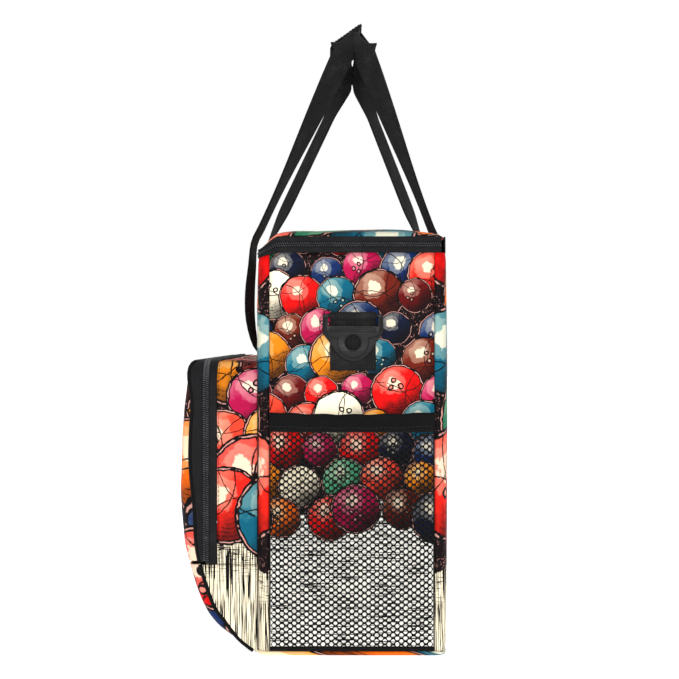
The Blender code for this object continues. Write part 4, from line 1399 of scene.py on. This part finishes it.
def make_handle(handle):
    near, grip, grip_across = handle_stations(handle, False)
    other, _, _ = handle_stations(handle, True)
    far = [(Vector((c.x, -c.y, c.z)), Vector((a.x, -a.y, a.z)), w) for c, a, w in other[::-1]]
    stations = near + [(grip, grip_across, STRAP_WIDE)] + far
    smooth = smooth_stations(stations, 3)
    word = handle["word"]
    name = f"{word}_handle"
    centres, acrosses, widths = zip(*smooth)
    obj = strap(name, centres, acrosses, [width - 0.001 for width in widths], 0.0015, 8)
    finish_piece(obj, "webbing", None, (name, f"{word}_strap_near", f"{word}_strap_far"), "webbing")
    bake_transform(obj)
    lean = handle["lean"]
    for end, side in ENDS:
        spots = []
        for shift in (-0.0095, 0.0095):
            line = [Vector((px, end * 0.069 + shift, pz)) for px, pz in handle["sewn"]]
            line = smooth_path(line, 0.004)
            outs, path = [], []
            for i, point in enumerate(line):
                along = heading(line, i)
                normal = along.cross(Vector((0, 1, 0)))
                normal = normal if normal.x * lean < 0 else -normal
                outs.append(normal)
                path.append(point + normal * 0.0010)
            spots += stitches(path, outs, 0.0026, 0.0012)
        beads(f"{word}_strap_{side}_stitches", spots, "thread", "bag")


def smooth_stations(stations, per_span):
    """Catmull-Rom through the stations' centres, directions and widths together."""
    padded = [stations[0], *stations, stations[-1]]
    found = []
    for s0, s1, s2, s3 in zip(padded, padded[1:], padded[2:], padded[3:]):
        for i in range(per_span):
            t = i / per_span
            made = []
            for a, b, c, d in zip(s0, s1, s2, s3):
                made.append((b * 2 + (c - a) * t + (a * 2 - b * 5 + c * 4 - d) * t**2
                             + (b * 3 - a - c * 3 + d) * t**3) / 2)
            found.append((made[0], made[1].normalized(), made[2]))
    return found + [stations[-1]]


def make_pad(name, path, half_y, thick, body):
    """A stuffed panel that follows a path in XZ over the grip, quilted a little and bound at its edge."""
    spine = smooth_path([(x, 0, z) for x, z in path], 0.0012)
    run = lengths_along(spine)
    total = run[-1]
    rows, uv_rows = [], []
    columns = 72
    for i, point in enumerate(spine):
        along = heading(spine, i)
        out = Vector((-along.z, 0, along.x))
        row, uv_row = [], []
        for side in (1, -1):
            for k in range(columns + 1):
                across = (-1 + 2 * k / columns) * side
                near_end = min(run[i], total - run[i])
                edge = min((1 - abs(across)) * half_y, near_end)
                swell = thick / 2 * (0.42 + 0.58 * math.sqrt(ease(0, 0.006, edge)))
                lump = wrinkle(Vector((across * half_y, run[i], side)), 0.010, 0.0003, 8.0)
                lump *= ease(0, 0.004, edge)
                row.append(point + out * side * (swell + lump) + Vector((0, across * half_y, 0)))
                uv_row.append((across * half_y + 0.1, run[i] + side * 0.2))
        rows.append(row)
        uv_rows.append([*uv_row, uv_row[0]])
    obj = grid_object(name, rows, uv_rows, closed=True)
    close_ends(obj)
    finish_piece(obj, "pad", body, (name,), "padding")
    return spine


def make_grips():
    flap_path = [(-0.0178, 0.5352), (-0.0178, 0.5385), (-0.0164, 0.5415), (-0.0135, 0.5442)]
    flap_path += [(-0.0040, 0.5508), (0.0040, 0.5566), (0.0105, 0.5612)]
    spine = make_pad("grip_flap", flap_path, 0.058, 0.0040, "grip_flap")
    back_path = [(0.0216, 0.5340), (0.0216, 0.5372), (0.0200, 0.5402), (0.0160, 0.5452), (0.0098, 0.5535)]
    make_pad("back_grip_pad", back_path, 0.058, 0.0026, "back_handle")
    make_pad("front_grip_pad", [(-0.0120, 0.5350), (-0.0060, 0.5410), (0.0020, 0.5485)], 0.056, 0.0026,
             "front_handle")
    path = every(spine[8:], 2)
    spots = []
    for y in (-0.0545, 0.0545):
        line, outs = [], []
        for i, p in enumerate(path):
            along = heading(path, i)
            out = Vector((-along.z, 0, along.x))
            line.append(p + out * 0.00185 + Vector((0, y, 0)))
            outs.append(out)
        spots += stitches(line, outs, 0.0022, 0.0011)
    beads("grip_flap_stitches", spots, "thread", "grip_flap")


# ---------------------------------------------------------------- zip sliders


def rounded_outline(cu, cv, half_u, half_v, radius):
    points = []
    for quarter, (su, sv) in enumerate([(1, 1), (-1, 1), (-1, -1), (1, -1)]):
        points += arc((cu + su * (half_u - radius), cv + sv * (half_v - radius)), radius, 90 * quarter,
                      90 * quarter + 90, 5)
    return points


def make_slider(name, puller, axis):
    """A cast slider of two plates and a bridge, and its slotted tab; axis is the way the tab points."""
    low, high, _ = size_of(name)
    centre = (low + high) / 2
    half_u, half_v = (high.x - low.x) / 2, (high.z - low.z) / 2
    thick = high.y - low.y
    for word, y in (("", low.y + thick * 0.25), ("_cap", high.y - thick * 0.25)):
        shape = rounded_outline(centre.x, centre.z, half_u, half_v, 0.0024)
        extra = {"replaced": (name,), "slot": "slider"} if not word else {}
        moulded_plate(f"{name}{word}", [shape], y, thick * 0.42, 0.0005, "slider", name, **extra)
    span = 0.0036
    foot, top = Vector((0, high.y - 0.0006, 0)), Vector((0, high.y + 0.0005, 0))
    side = Vector((1, 0, 0)) if axis == "x" else Vector((0, 0, 1))
    middle = Vector((centre.x, 0, centre.z))
    line = [middle + side * -span + foot, middle + side * -span * 0.7 + top,
            middle + top + Vector((0, 0.0004, 0)),
            middle + side * span * 0.7 + top, middle + side * span + foot]
    tube(f"{name}_bridge", smooth_path(line, 0.0008), 0.0006, "slider", name)
    low, high, _ = size_of(puller)
    middle = (low + high) / 2
    shape = rounded_outline(middle.x, middle.z, (high.x - low.x) / 2, (high.z - low.z) / 2, 0.0024)
    tip = 0.0045
    spot = (high.x - tip, middle.z) if axis == "x" else (middle.x, high.z - tip)
    end = (low.x + tip, middle.z) if axis == "x" else (middle.x, low.z + tip)
    reach = (0.0024, 0.0014) if axis == "x" else (0.0014, 0.0024)
    slot_hole = rounded_outline(*spot, *reach, 0.0013)
    eye = rounded_outline(*end, 0.0016, 0.0016, 0.0015)
    moulded_plate(puller, [shape, slot_hole, eye], middle.y, high.y - low.y, 0.0003, "slider", puller,
                  replaced=(puller,), slot="slider")


# ---------------------------------------------------------------- stage and light


def make_stage():
    bpy.ops.mesh.primitive_plane_add(size=14, location=(0, 0, -0.0004))
    floor = bpy.context.object
    floor.name = "floor"
    tree = Tree("floor", 0.85)
    grain = tree.noise(tree.place(), 3.0, 2.0)
    colour = tree.mix(tree.math("MULTIPLY", grain, 0.04), linear(238, 238, 238), linear(226, 226, 228))
    tree.set(tree.shader, "Emission Color", (1, 1, 1))
    tree.set(tree.shader, "Emission Strength", 0.75)
    floor.data.materials.append(tree.finish(colour))
    world = bpy.data.worlds.new("studio")
    world.use_nodes = True
    nodes, links = world.node_tree.nodes, world.node_tree.links
    seen = nodes.new("ShaderNodeMapRange")
    seen.inputs[3].default_value, seen.inputs[4].default_value = 0.62, 1.0
    links.new(nodes.new("ShaderNodeLightPath").outputs["Is Camera Ray"], seen.inputs[0])
    nodes["Background"].inputs[0].default_value = (1, 1, 1, 1)
    links.new(seen.outputs[0], nodes["Background"].inputs[1])
    bpy.context.scene.world = world


def add_light(name, place, target, size, power):
    data = bpy.data.lights.new(name, "AREA")
    data.shape = "RECTANGLE"
    data.size, data.size_y = size
    data.energy = power
    light = bpy.data.objects.new(name, data)
    light.location = place
    light.rotation_euler = (Vector(target) - Vector(place)).to_track_quat("-Z", "Y").to_euler()
    bpy.context.scene.collection.objects.link(light)


def make_lights():
    middle = (0, 0, 0.28)
    add_light("front", (0.10, -1.9, 0.50), middle, (0.5, 0.5), 25)
    add_light("fill", (-1.3, -1.2, 0.8), middle, (1.2, 1.2), 4)
    add_light("top", (0.3, -0.3, 1.9), middle, (1.6, 1.6), 6)
    add_light("back", (0.3, 1.7, 0.9), middle, (1.2, 1.2), 8)


def make_camera():
    data = bpy.data.cameras.new("camera")
    data.sensor_width = 36
    data.lens = 61.03
    camera = bpy.data.objects.new("camera", data)
    camera.location = (-0.0103, -1.152, 0.2617)
    camera.rotation_euler = (math.radians(90), 0, 0)
    bpy.context.scene.collection.objects.link(camera)
    bpy.context.scene.camera = camera


make_looks()
make_body()
make_rim()
make_hinge()
make_lid()
for END, WORD in ENDS:
    make_net(END, WORD)
    make_binding(END, WORD)
    make_anchor(END, WORD)
    make_loop(END, WORD)
make_pocket()
make_handle(FRONT)
make_handle(BACK)
make_grips()
make_slider("main_slider", "main_puller", "x")
make_slider("pocket_slider", "pocket_puller", "z")
BOARD = bpy.data.objects["base_board"]
BOARD.data.materials.clear()
BOARD.data.materials.append(LOOKS["board"])
make_stage()
make_lights()
make_camera()
bpy.context.scene.view_settings.view_transform = "Standard"
